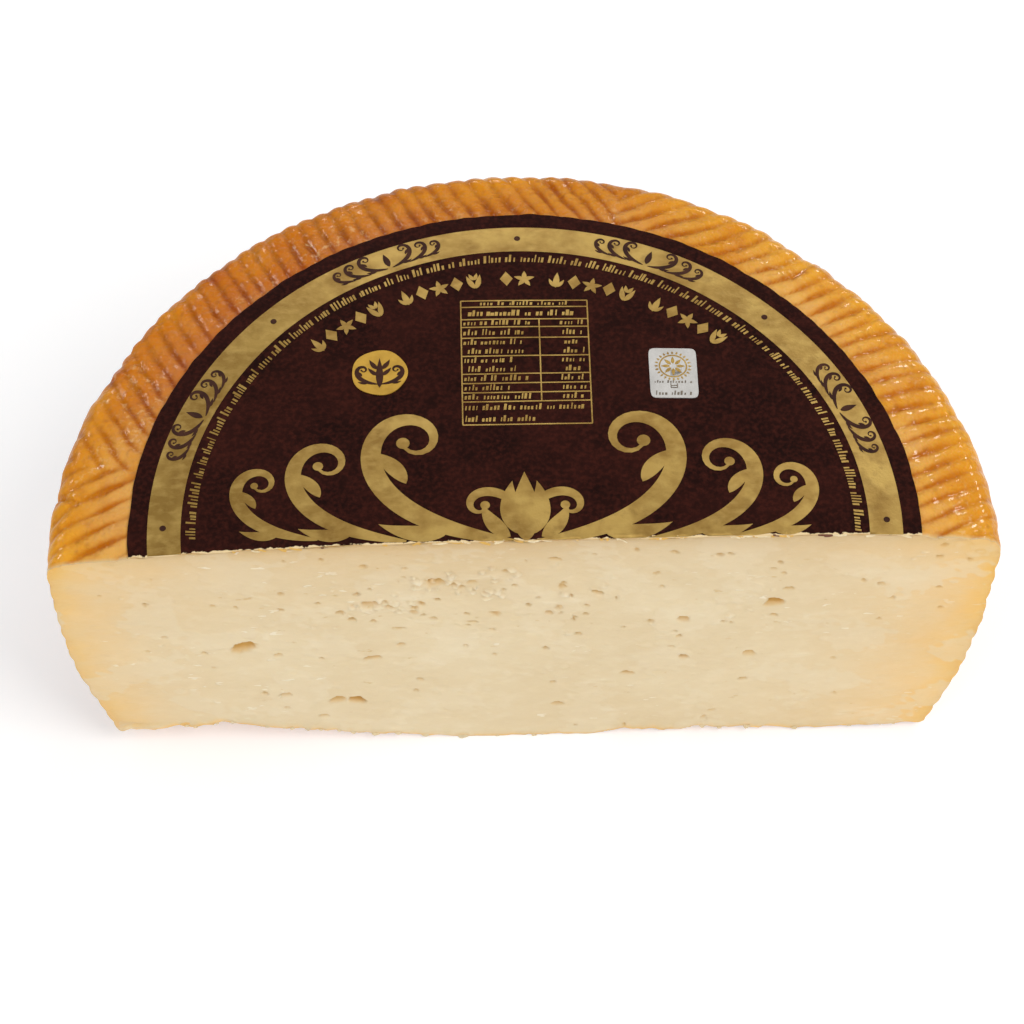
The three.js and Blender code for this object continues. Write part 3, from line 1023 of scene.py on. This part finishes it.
# %% [markdown]
# ### Torn edge and crumbs
# The knife tore the label where it went through, so pale flecks of paper and curls of gold film stand along
# the cut. Each is a small bent strip. Crumbs of paste cling to the lower edge, and each is a small ball
# whose radius is made uneven by noise.

# %% Flecks and crumbs
FLECKS = [(-27, 36, 40), (46, 62, 20), (-66, -28, 8), (64, 88, 6)]  # from and to along the cut, and count
FLECK_THICKNESS = 0.07
CRUMB_ROWS = 8
CRUMB_COLUMNS = 11


def fleck(place, length, width, turn, rise, curl):
    """A bent strip about a point: x runs along it, y across it, and its height is a parabola."""
    along = np.linspace(-0.5, 0.5, 6)[:, None] * length
    side = np.linspace(-0.5, 0.5, 3)[None, :] * width * (1 - 1.6 * (along / length) ** 2)
    x = along * math.cos(turn) - side * math.sin(turn)
    y = along * math.sin(turn) + side * math.cos(turn)
    z = rise * along + curl * (along / length) ** 2 * 4 + 0.3 * side
    upper = place + np.stack([x + 0 * z, y + 0 * z, z + 0 * x], -1)
    return closed_sheet(upper, upper - [0, 0, FLECK_THICKNESS])


fleck_dice = np.random.default_rng(81)
fleck_parts = []
fleck_gilt = []
for low, high, number in FLECKS:
    for x in fleck_dice.uniform(low, high, number):
        spot = lay_on_top(np.array([x, -LABEL_PAST + fleck_dice.uniform(0.0, 0.5)]), PAPER + 0.1)
        spot[1] = CUT_Y + fleck_dice.uniform(-0.2, 0.12)
        spot[2] -= 0.25
        size = 0.6 + 3.0 * fleck_dice.random() ** 2.5
        width = fleck_dice.uniform(0.22, 0.6)
        turn = fleck_dice.normal(0, 0.22)
        rise = fleck_dice.normal(0, 0.08)
        curl = fleck_dice.uniform(-0.02, 0.22)
        fleck_parts.append(fleck(spot, size, width, turn, rise, curl))
        fleck_gilt.append(np.full(len(fleck_parts[-1][0]), fleck_dice.random()))
points, faces = join_parts(fleck_parts)
torn_flecks = add_piece("torn_flecks", points, [faces], {"gilt": np.concatenate(fleck_gilt)}, sharp=40)


def crumb(place, size, seed):
    """A small ball, squashed and made uneven by noise."""
    around = np.linspace(0, 2 * np.pi, CRUMB_COLUMNS)[None, :]
    upward = np.linspace(-np.pi / 2, np.pi / 2, CRUMB_ROWS)[:, None]
    ball = np.stack([np.cos(upward) * np.cos(around), np.cos(upward) * np.sin(around),
                     np.sin(upward) + 0 * around], -1)
    radius = size / 2 * (1 + 0.3 * waves(ball * 2, seed, 2.6))
    points = (place + ball * radius[..., None] * [1.25, 0.8, 0.75]).reshape(-1, 3)
    return points, grid_faces(CRUMB_ROWS, CRUMB_COLUMNS)


crumb_dice = np.random.default_rng(82)
crumb_parts = []
for x in np.concatenate([crumb_dice.uniform(-88, 94, 34), crumb_dice.uniform(-80, -30, 14)]):
    spot = bottom_edge[np.argmin(np.abs(bottom_edge[:, 0] - x))] + [0, crumb_dice.uniform(-0.1, 0.3), 0.1]
    crumb_parts.append(crumb(spot, 0.5 + 1.2 * crumb_dice.random() ** 2, 90 + len(crumb_parts)))
points, faces = join_parts(crumb_parts)
points[:, 2] = np.maximum(points[:, 2], 0)
edge_crumbs = add_piece("edge_crumbs", points, [faces], sharp=80)

# %% [markdown]
# ## Materials
# Each finish is a Principled shader whose colour, roughness and bump come from nodes. Colours are given as
# they look on a screen, 0 to 255, and converted, because that is how a maker picks them. The helpers put
# a node in a tree and return its result, so that one result can be given straight to the next node.

# %% Node helpers


def screen(red, green, blue):
    """A screen colour, 0 to 255, as the linear colour that a shader needs."""
    c = np.array([red, green, blue]) / 255
    linear = np.where(c <= 0.04045, c / 12.92, ((c + 0.055) / 1.055) ** 2.4)
    return (*[float(v) for v in linear], 1.0)


def put(tree, kind, inputs=None, **settings):
    """Adds a node. Inputs are values, or sockets to link from."""
    node = tree.nodes.new(kind)
    for key, value in settings.items():
        setattr(node, key, value)
    for key, value in (inputs or {}).items():
        if isinstance(value, bpy.types.NodeSocket):
            tree.links.new(value, node.inputs[key])
        else:
            node.inputs[key].default_value = value
    return node


def math_of(tree, operation, *values, clamp=False):
    """A Math node's result."""
    node = put(tree, "ShaderNodeMath", dict(enumerate(values)), operation=operation, use_clamp=clamp)
    return node.outputs[0]


def new_group(name, inputs, outputs):
    """An empty node group with its sockets. Inputs are (name, value), and the place comes first."""
    group = bpy.data.node_groups.new(name, "ShaderNodeTree")
    group.interface.new_socket("Vector", in_out="INPUT", socket_type="NodeSocketVector")
    for title, value in inputs:
        socket = group.interface.new_socket(title, in_out="INPUT", socket_type="NodeSocketFloat")
        socket.default_value = value
    for title in outputs:
        group.interface.new_socket(title, in_out="OUTPUT", socket_type="NodeSocketFloat")
    return group, group.nodes.new("NodeGroupInput").outputs, group.nodes.new("NodeGroupOutput").inputs


# %% [markdown]
# Two effects are shared, so they are node groups. `mottle` is cloudy noise with an adjustable contrast: a
# narrow range gives patches with clear edges, and a wide one gives soft clouds. `grain` is a fine height
# made of noise less a scatter of pores, and it gives the pores as a mask too.

# %% Shared node groups
mottle, given, result = new_group(
    "mottle", [("Scale", 50.0), ("Low", 0.35), ("High", 0.65), ("Detail", 3.0)], ["Mask"])
cloud = put(mottle, "ShaderNodeTexNoise", {
    "Vector": given["Vector"], "Scale": given["Scale"], "Detail": given["Detail"], "Roughness": 0.55})
clouds = put(mottle, "ShaderNodeMapRange", {
    "Value": cloud.outputs["Fac"], "From Min": given["Low"], "From Max": given["High"]})
mottle.links.new(clouds.outputs[0], result["Mask"])

grain, given, result = new_group("grain", [("Scale", 900.0), ("Pores", 0.5)], ["Height", "Pore Mask"])
fine = put(grain, "ShaderNodeTexNoise", {
    "Vector": given["Vector"], "Scale": given["Scale"], "Detail": 4.0, "Roughness": 0.6})
cell_scale = math_of(grain, "MULTIPLY", given["Scale"], 0.45)
cell = put(grain, "ShaderNodeTexVoronoi", {"Vector": given["Vector"], "Scale": cell_scale})
pore = put(grain, "ShaderNodeMapRange", {
    "Value": cell.outputs["Distance"], "From Min": 0.06, "From Max": 0.3, "To Min": 1.0, "To Max": 0.0})
deep = math_of(grain, "MULTIPLY", pore.outputs[0], given["Pores"])
grain.links.new(math_of(grain, "SUBTRACT", fine.outputs["Fac"], deep), result["Height"])
grain.links.new(deep, result["Pore Mask"])
print("node groups:", mottle.name, "and", grain.name)

# %% [markdown]
# A finish is painted in layers: a ground of two colours, then one layer over another, each with a mask that
# says where it is and how strong. `Look` keeps the material and the colour so far, so that a layer takes
# one line. Bumps add up in the same way, and `wear` gives the finished look to its pieces.

# %% Painting a look


class Look:
    """A material under way: its shader's sockets, the place on the surface and the colour so far."""

    def __init__(self, name, **shader_values):
        self.material = bpy.data.materials.new(name)
        self.material.use_nodes = True
        self.tree = self.material.node_tree
        self.shader = self.tree.nodes["Principled BSDF"].inputs
        for key, value in shader_values.items():
            self.shader[key.replace("_", " ")].default_value = value
        self.place = self.tree.nodes.new("ShaderNodeTexCoord").outputs["Object"]
        self.colour = None
        self.normal = None

    def math(self, operation, *values, clamp=False):
        """A sum, a difference or the like."""
        return math_of(self.tree, operation, *values, clamp=clamp)

    def times(self, *values):
        """The product of two or more values."""
        product = values[0]
        for value in values[1:]:
            product = self.math("MULTIPLY", product, value)
        return product

    def number(self, name):
        """A number kept on the mesh's points."""
        return put(self.tree, "ShaderNodeAttribute", attribute_name=name).outputs["Fac"]

    def along(self, axis):
        """The place along one axis, in metres."""
        return put(self.tree, "ShaderNodeSeparateXYZ", {"Vector": self.place}).outputs[axis]

    def stretched(self, x, y, z):
        """The place with each axis scaled, which stretches a pattern."""
        return put(self.tree, "ShaderNodeMapping", {"Vector": self.place, "Scale": (x, y, z)}).outputs[0]

    def between(self, value, low, high, kind="LINEAR"):
        """How far a value is from `low` to `high`, 0 to 1."""
        limits = {"Value": value, "From Min": low, "From Max": high}
        return put(self.tree, "ShaderNodeMapRange", limits, interpolation_type=kind).outputs[0]

    def mottled(self, scale, low=0.35, high=0.65, detail=3.0, place=None):
        """The mottle group's mask."""
        values = {"Vector": place or self.place, "Scale": scale, "Low": low, "High": high, "Detail": detail}
        return self.grouped(mottle, values)["Mask"]

    def grained(self, scale, pores, place=None):
        """The grain group's height and pores."""
        results = self.grouped(grain, {"Vector": place or self.place, "Scale": scale, "Pores": pores})
        return results["Height"], results["Pore Mask"]

    def grouped(self, group, values):
        """A node group's results. The group is set first, because it brings the sockets."""
        return put(self.tree, "ShaderNodeGroup", values, node_tree=group).outputs

    def blend(self, share, first, second):
        """A colour between two colours."""
        return put(self.tree, "ShaderNodeMix", {0: share, 6: first, 7: second}, data_type="RGBA").outputs[2]

    def ground(self, share, first, second):
        """The first layer: two screen colours and the share of the second."""
        self.colour = self.blend(share, screen(*first), screen(*second))

    def lay(self, colour, *masks):
        """One more layer: a screen colour, as strong as the product of its masks."""
        self.colour = self.blend(self.times(*masks), self.colour, screen(*colour))

    def add_bump(self, height, strength, distance):
        """One more bump over those there are."""
        values = {"Height": height, "Strength": strength, "Distance": distance}
        if self.normal:
            values["Normal"] = self.normal
        self.normal = put(self.tree, "ShaderNodeBump", values).outputs[0]

    def wear(self, *pieces):
        """Links the colour and the bumps, and gives the material to the pieces."""
        self.tree.links.new(self.colour, self.shader["Base Color"])
        if self.normal:
            self.tree.links.new(self.normal, self.shader["Normal"])
        for piece in pieces:
            piece.data.materials.append(self.material)
        print(self.material.name, "on", ", ".join(piece.name for piece in pieces))


# %% [markdown]
# ### Rind
# Oil soaks into the rind and stays in the valleys between ribs, and the crests are rubbed paler; the darker
# valleys are also painted shade. The colour therefore comes from the rib height and the tone kept on the
# points, and clouds, specks and pale scuffs break it up. A thin clear coat gives the oily shine. Shine and
# pale rub look like haze on the darkest skin, so `light_tone` takes most of them away there.

# %% Rind material
look = Look("rind_oiled", IOR=1.45, Specular_IOR_Level=0.1, Coat_Roughness=0.09, Coat_IOR=1.45,
            Subsurface_Weight=0.2, Subsurface_Radius=(1.0, 0.5, 0.12), Subsurface_Scale=0.002)
tone = look.number("tone")
outer = look.number("edge")
crest_colour = look.blend(tone, screen(238, 176, 56), screen(190, 98, 10))
valley_colour = look.blend(tone, screen(200, 114, 6), screen(142, 58, 0))
unsteady = look.times(look.math("SUBTRACT", look.mottled(130), 0.5), 0.35)
# Partly painted shade: valleys get the darker colour, crests the paler, rubbed one.
wear_and_valley_shade = look.between(look.math("ADD", look.number("rib"), unsteady), 0.3, 0.98, "SMOOTHSTEP")
look.colour = look.blend(wear_and_valley_shade, valley_colour, crest_colour)
look.lay((238, 162, 34), outer, look.mottled(70, 0.3, 0.6), 0.55)
look.lay((202, 112, 2), look.mottled(60, 0.45, 0.7), 0.4)
look.lay((176, 80, 2), look.mottled(190, 0.52, 0.7), 0.26)
height, pores = look.grained(700, 0.6)
look.lay((140, 66, 12), pores, 0.5)
light_tone = look.math("SUBTRACT", 1.0, look.times(tone, 0.75))
inner = look.math("SUBTRACT", 1.0, outer)
look.lay((234, 184, 112), inner, light_tone, wear_and_valley_shade, look.mottled(55, 0.36, 0.6), 0.62)
look.lay((240, 204, 146), look.mottled(620, 0.56, 0.72), look.mottled(48, 0.5, 0.64), 0.45)
look.lay((228, 196, 146), look.number("cut"))
oil = look.mottled(95, 0.35, 0.6)
roughness = look.math("SUBTRACT", 0.45, look.times(oil, 0.15))
look.tree.links.new(roughness, look.shader["Roughness"])
wet = look.math("ADD", look.times(oil, 0.55), 0.06)
look.tree.links.new(look.times(wet, light_tone), look.shader["Coat Weight"])
look.add_bump(height, 0.1, 0.0005)
look.add_bump(look.mottled(850, 0.25, 0.75, 1.0), 0.4, 0.0005)
look.add_bump(look.mottled(400, 0.2, 0.8, 1.5), 0.45, 0.001)
look.wear(rind, rind_base)

# %% [markdown]
# ### Paste
# The paste is pale ivory and slightly translucent, which subsurface scattering gives. It ripens from the
# rind inwards, so it is amber at both ends, most of all in the upper corners. Just under the label it is
# made duller and greyer by painted shade. The eyes are painted darker inside, deepest near their tops, as
# painted shade, and the dragged curd is whiter. Fine slits and flakes break the surface into crumbs, and
# the same masks raise the bump.

# %% Paste material
look = Look("paste_ivory", Roughness=0.5, IOR=1.4, Specular_IOR_Level=0.25,
            Subsurface_Weight=0.15, Subsurface_Radius=(1.0, 0.8, 0.5), Subsurface_Scale=0.002)
sideways = look.stretched(0.7, 1, 1.15)
look.ground(look.mottled(45, 0.3, 0.7, place=sideways), (230, 211, 174), (224, 202, 162))
look.lay((246, 234, 206), look.mottled(230, 0.5, 0.75, 5.0, sideways), 0.22)
# Amber where the paste ripened, with a little painted shade near the top at the left.
ripe_and_top_shade_share = look.number("ripe_and_top_shade")
wander = look.times(look.math("SUBTRACT", look.mottled(90), 0.5), 0.35, ripe_and_top_shade_share)
look.lay((250, 190, 88), look.math("ADD", ripe_and_top_shade_share, wander, clamp=True))
# Painted shade: the greyer band under the label.
look.lay((200, 166, 118), look.number("shade_under_label"), 0.46)
slit_lines = look.mottled(420, 0.28, 0.25, 2.0, look.stretched(0.55, 1, 1.2))
slits = look.times(slit_lines, look.mottled(30, 0.46, 0.56))
flake_lines = look.mottled(420, 0.68, 0.71, 2.0, look.stretched(0.5, 1, 1.3))
flakes = look.times(flake_lines, look.mottled(33, 0.48, 0.6, place=sideways))
# Painted shade: the eyes are darker inside, most near their tops.
look.lay((208, 156, 66), look.number("pit"), 0.85)
look.lay((208, 164, 88), slits, 0.4)
look.lay((252, 243, 222), flakes, 0.5)
look.lay((250, 240, 216), look.number("crumb"), 0.55)
height, pores = look.grained(900, 0.35, look.stretched(0.6, 1, 1))
look.lay((214, 184, 134), pores, 0.22)
look.add_bump(height, 0.3, 0.0005)
curd = look.mottled(300, 0.2, 0.8, place=sideways)
look.add_bump(look.math("ADD", curd, look.math("SUBTRACT", flakes, slits)), 0.4, 0.0006)
look.wear(paste, edge_crumbs)

# %% [markdown]
# ### Label paper
# The paper is printed a very dark brown with a cloudy, leather-like pattern. Its pale core shows where it
# was cut, a fraction of a millimetre wide and ragged, so that mask comes from the place and not from the
# points. A fine grain of noise and shallow pores is the paper's tooth.

# %% Label material
PAPER_PORES = 0.2
PAPER_TOOTH = 0.0003
CORE_BLUR = 0.0001
look = Look("label_brown", Roughness=0.65, Specular_IOR_Level=0.03)
look.ground(look.mottled(75, 0.35, 0.65, 5.0), (32, 12, 9), (48, 19, 14))
look.lay((74, 32, 23), look.mottled(900, 0.42, 0.72, 4.0), 0.6)
look.lay((18, 8, 6), look.mottled(200, 0.5, 0.72, 4.0), 0.4)
ragged = look.math("ADD", look.along("Y"), look.times(look.mottled(700, 0.25, 0.7), -0.0008))
cut_plane = float(CUT_Y) * MM
look.lay((232, 206, 158), look.between(ragged, cut_plane + CORE_BLUR, cut_plane - CORE_BLUR))
look.add_bump(look.grained(1500, PAPER_PORES)[0], 0.25, PAPER_TOOTH)
look.wear(label_sheet)

# %% [markdown]
# ### Gold ink
# The gold is an ink with a dull metallic shine, uneven where the paper took it badly. Towards the left it
# is painted darker, as painted shade away from the lamp. Paler crinkles are painted sheen, laid after the
# painted shade so that they still show in it.

# %% Gold material
look = Look("gold_ink", Roughness=0.42, Metallic=0.4, Specular_IOR_Level=0.15)
look.ground(look.mottled(120, 0.36, 0.62, 4.0), (204, 168, 92), (164, 128, 64))
look.lay((136, 102, 50), look.mottled(230, 0.56, 0.72, 5.0), 0.5)
# Painted shade: the gold is darker towards the left, away from the lamp, with patches where the paper took
# the ink badly.
shade_to_left = look.between(look.along("X"), -0.02, -0.095, "SMOOTHSTEP")
patches = look.times(look.mottled(28, 0.45, 0.65), 0.25)
look.lay((134, 102, 42), look.math("ADD", look.times(shade_to_left, 0.55), patches, clamp=True))
# Painted sheen: paler crinkles stretched across the band, laid over the painted shade.
look.lay((214, 180, 104), look.mottled(300, 0.46, 0.74, 4.0, look.stretched(1, 1.6, 1)), 0.45)
look.add_bump(look.grained(1500, PAPER_PORES)[0], 0.25, PAPER_TOOTH)
look.wear(gold_band, scroll_print, row_print, fine_dashes, panel_print, sticker_mark)

# %% [markdown]
# ### Torn paper
# Every fleck keeps one number, `gilt`, for all its points. Up to 0.4 it is pale paper, above 0.5 it is
# gilded, and the few above 0.93 show the brown print. One material so serves all the flecks.

# %% Fleck material
look = Look("torn_paper", Roughness=0.4, Specular_IOR_Level=0.4)
gilt = look.number("gilt")
look.ground(look.mottled(900, 0.3, 0.7), (242, 226, 190), (224, 198, 150))
look.lay((222, 176, 92), look.between(gilt, 0.4, 0.5))
look.lay((112, 66, 44), look.between(gilt, 0.92, 0.93))
look.wear(torn_flecks)

# %% [markdown]
# ### Plain inks and foils
# The other finishes are soft clouds of two near colours. The two foils are only partly metallic, because
# they are thin layers on paper, and the paper's tooth shows through them.

# %% Inks and foils


def cloudy_look(name, scale, first, second, **shader_values):
    """A look of soft clouds of two screen colours."""
    cloudy = Look(name, **shader_values)
    cloudy.ground(cloudy.mottled(scale, 0.3, 0.7, 4.0), first, second)
    return cloudy


look = cloudy_look("dark_ink", 300, (48, 24, 18), (74, 42, 28), Roughness=0.6, Specular_IOR_Level=0.1)
look.wear(band_ink, seal_ink)
look = cloudy_look("grey_ink", 500, (96, 88, 80), (134, 122, 106), Roughness=0.6, Specular_IOR_Level=0.1)
look.wear(sticker_ink)
look = cloudy_look("seal_foil", 260, (216, 170, 66), (190, 146, 52),
                   Roughness=0.42, Metallic=0.25, Specular_IOR_Level=0.3)
look.add_bump(look.grained(1600, PAPER_PORES)[0], 0.2, PAPER_TOOTH)
look.wear(seal_disc)
look = cloudy_look("silver_paper", 240, (208, 205, 200), (190, 187, 182),
                   Roughness=0.4, Metallic=0.15, Specular_IOR_Level=0.3)
look.add_bump(look.grained(1600, PAPER_PORES)[0], 0.2, PAPER_TOOTH)
look.wear(sticker_sheet)

# %% [markdown]
# ## Camera
# The camera looks down on the cheese from the front with a long lens, which keeps the far rim nearly as
# wide as the near one. Its place is given as a distance and two angles from the point it looks at, and a
# small roll, because these are easy to change one at a time.

# %% Camera
CAMERA_DISTANCE = 750.0
CAMERA_HEIGHT_ANGLE = math.radians(56.681)
CAMERA_SIDE_ANGLE = math.radians(-4.983)
CAMERA_ROLL = math.radians(3.064)
CAMERA_TARGET = np.array([-3.05, -44.3, 83.1])
back = np.array([
    math.sin(CAMERA_SIDE_ANGLE) * math.cos(CAMERA_HEIGHT_ANGLE),
    -math.cos(CAMERA_SIDE_ANGLE) * math.cos(CAMERA_HEIGHT_ANGLE),
    math.sin(CAMERA_HEIGHT_ANGLE)])
level = np.cross([0, 0, 1], back)
level /= np.linalg.norm(level)
upright = np.cross(back, level)
right = math.cos(CAMERA_ROLL) * level + math.sin(CAMERA_ROLL) * upright
up = -math.sin(CAMERA_ROLL) * level + math.cos(CAMERA_ROLL) * upright
camera_data = bpy.data.cameras.new("camera")
camera_data.lens = 115.36
camera_data.sensor_width = 36.0
camera_data.clip_start = 0.01
camera = bpy.data.objects.new("camera", camera_data)
turn = Matrix([right, up, back]).transposed().to_4x4()
camera.matrix_world = Matrix.Translation(Vector((CAMERA_TARGET + CAMERA_DISTANCE * back) * MM)) @ turn
bpy.context.scene.collection.objects.link(camera)
bpy.context.scene.camera = camera
bpy.context.scene.view_settings.view_transform = "Standard"
print("camera at", [round(v, 3) for v in camera.matrix_world.translation], "m")

# %% [markdown]
# ## Floor
# The floor is a white plane a fifth of a millimetre under the cheese, so that the two don't share a
# surface. It glows a little in a bluish white: the cheese throws orange light into its own shadow, and the
# glow keeps that shadow neutral.

# %% Floor
FLOOR_DROP = 0.0002
floor_mesh = bpy.data.meshes.new("floor")
span = np.linspace(-3.0, 3.0, 7)
floor_points = np.stack(np.meshgrid(span, span), -1).reshape(-1, 2)
floor_points = np.c_[floor_points, np.full(len(floor_points), -FLOOR_DROP)]
floor_mesh.from_pydata(floor_points.tolist(), [], grid_faces(7, 7).tolist())
floor = bpy.data.objects.new("floor", floor_mesh)
bpy.context.scene.collection.objects.link(floor)
look = Look("floor_white", Roughness=0.8, Specular_IOR_Level=0.0,
            Emission_Color=(0.8, 1.05, 1.22, 1), Emission_Strength=0.34)
look.ground(look.mottled(3, 0.2, 0.8), (239, 229, 221), (237, 227, 219))
look.wear(floor)

# %% [markdown]
# ## Lights
# The white surroundings light everything softly, and a large lamp high at the right gives the shadows. A
# fill lamp stands at the left, and a third one behind. These three give no gloss, and glossy rays see the
# surroundings almost dark, or the oily rind would turn milky. Its glints come from five small lamps that
# are seen only as reflections.

# %% Lights
SOFT_LIGHT = 0.46
GLOSS_LIGHT = 0.05
world = bpy.data.worlds.new("surroundings")
bpy.context.scene.world = world
world.use_nodes = True
tree = world.node_tree
tree.nodes.clear()
rays = tree.nodes.new("ShaderNodeLightPath").outputs
ambient, dim, seen = (
    put(tree, "ShaderNodeBackground", {"Color": (1, 1, 1, 1), "Strength": strength}).outputs[0]
    for strength in (SOFT_LIGHT, GLOSS_LIGHT, 1.0))
bounced = put(tree, "ShaderNodeMixShader", {0: rays["Is Glossy Ray"], 1: ambient, 2: dim}).outputs[0]
sky = put(tree, "ShaderNodeMixShader", {0: rays["Is Camera Ray"], 1: bounced, 2: seen}).outputs[0]
put(tree, "ShaderNodeOutputWorld", {"Surface": sky})


def add_lamp(name, place, target, width, height, watts):
    """A soft rectangular lamp that faces a point. Places are in metres."""
    data = bpy.data.lights.new(name, "AREA")
    data.shape = "RECTANGLE"
    data.size = width
    data.size_y = height
    data.energy = watts
    lamp = bpy.data.objects.new(name, data)
    aim = (Vector(target) - Vector(place)).to_track_quat("-Z", "Y").to_matrix().to_4x4()
    lamp.matrix_world = Matrix.Translation(Vector(place)) @ aim
    bpy.context.scene.collection.objects.link(lamp)
    print("lamp", name, watts, "W")
    return lamp


for name, place, aim_height, width, height, watts in (
        ("key", (0.55, -0.45, 1.1), 0.05, 0.7, 0.7, 6.6),
        ("fill", (-0.8, -0.7, 0.8), 0.05, 0.9, 0.9, 3.7),
        ("back", (0.45, 0.75, 1.05), 0.07, 0.7, 0.35, 3.0)):
    add_lamp(name, place, (0, 0, aim_height), width, height, watts).visible_glossy = False
GLINT_PLACES = [
    (-0.15, 1.05, 0.55), (0.5, 0.85, 0.6), (-0.75, 0.6, 0.65), (0.9, 0.25, 0.75), (0.3, -0.6, 1.1)]
for number, spot in enumerate(GLINT_PLACES):
    add_lamp(f"glint_{number}", spot, (0, 0, 0.08), 0.2, 0.2, 2.8).visible_diffuse = False
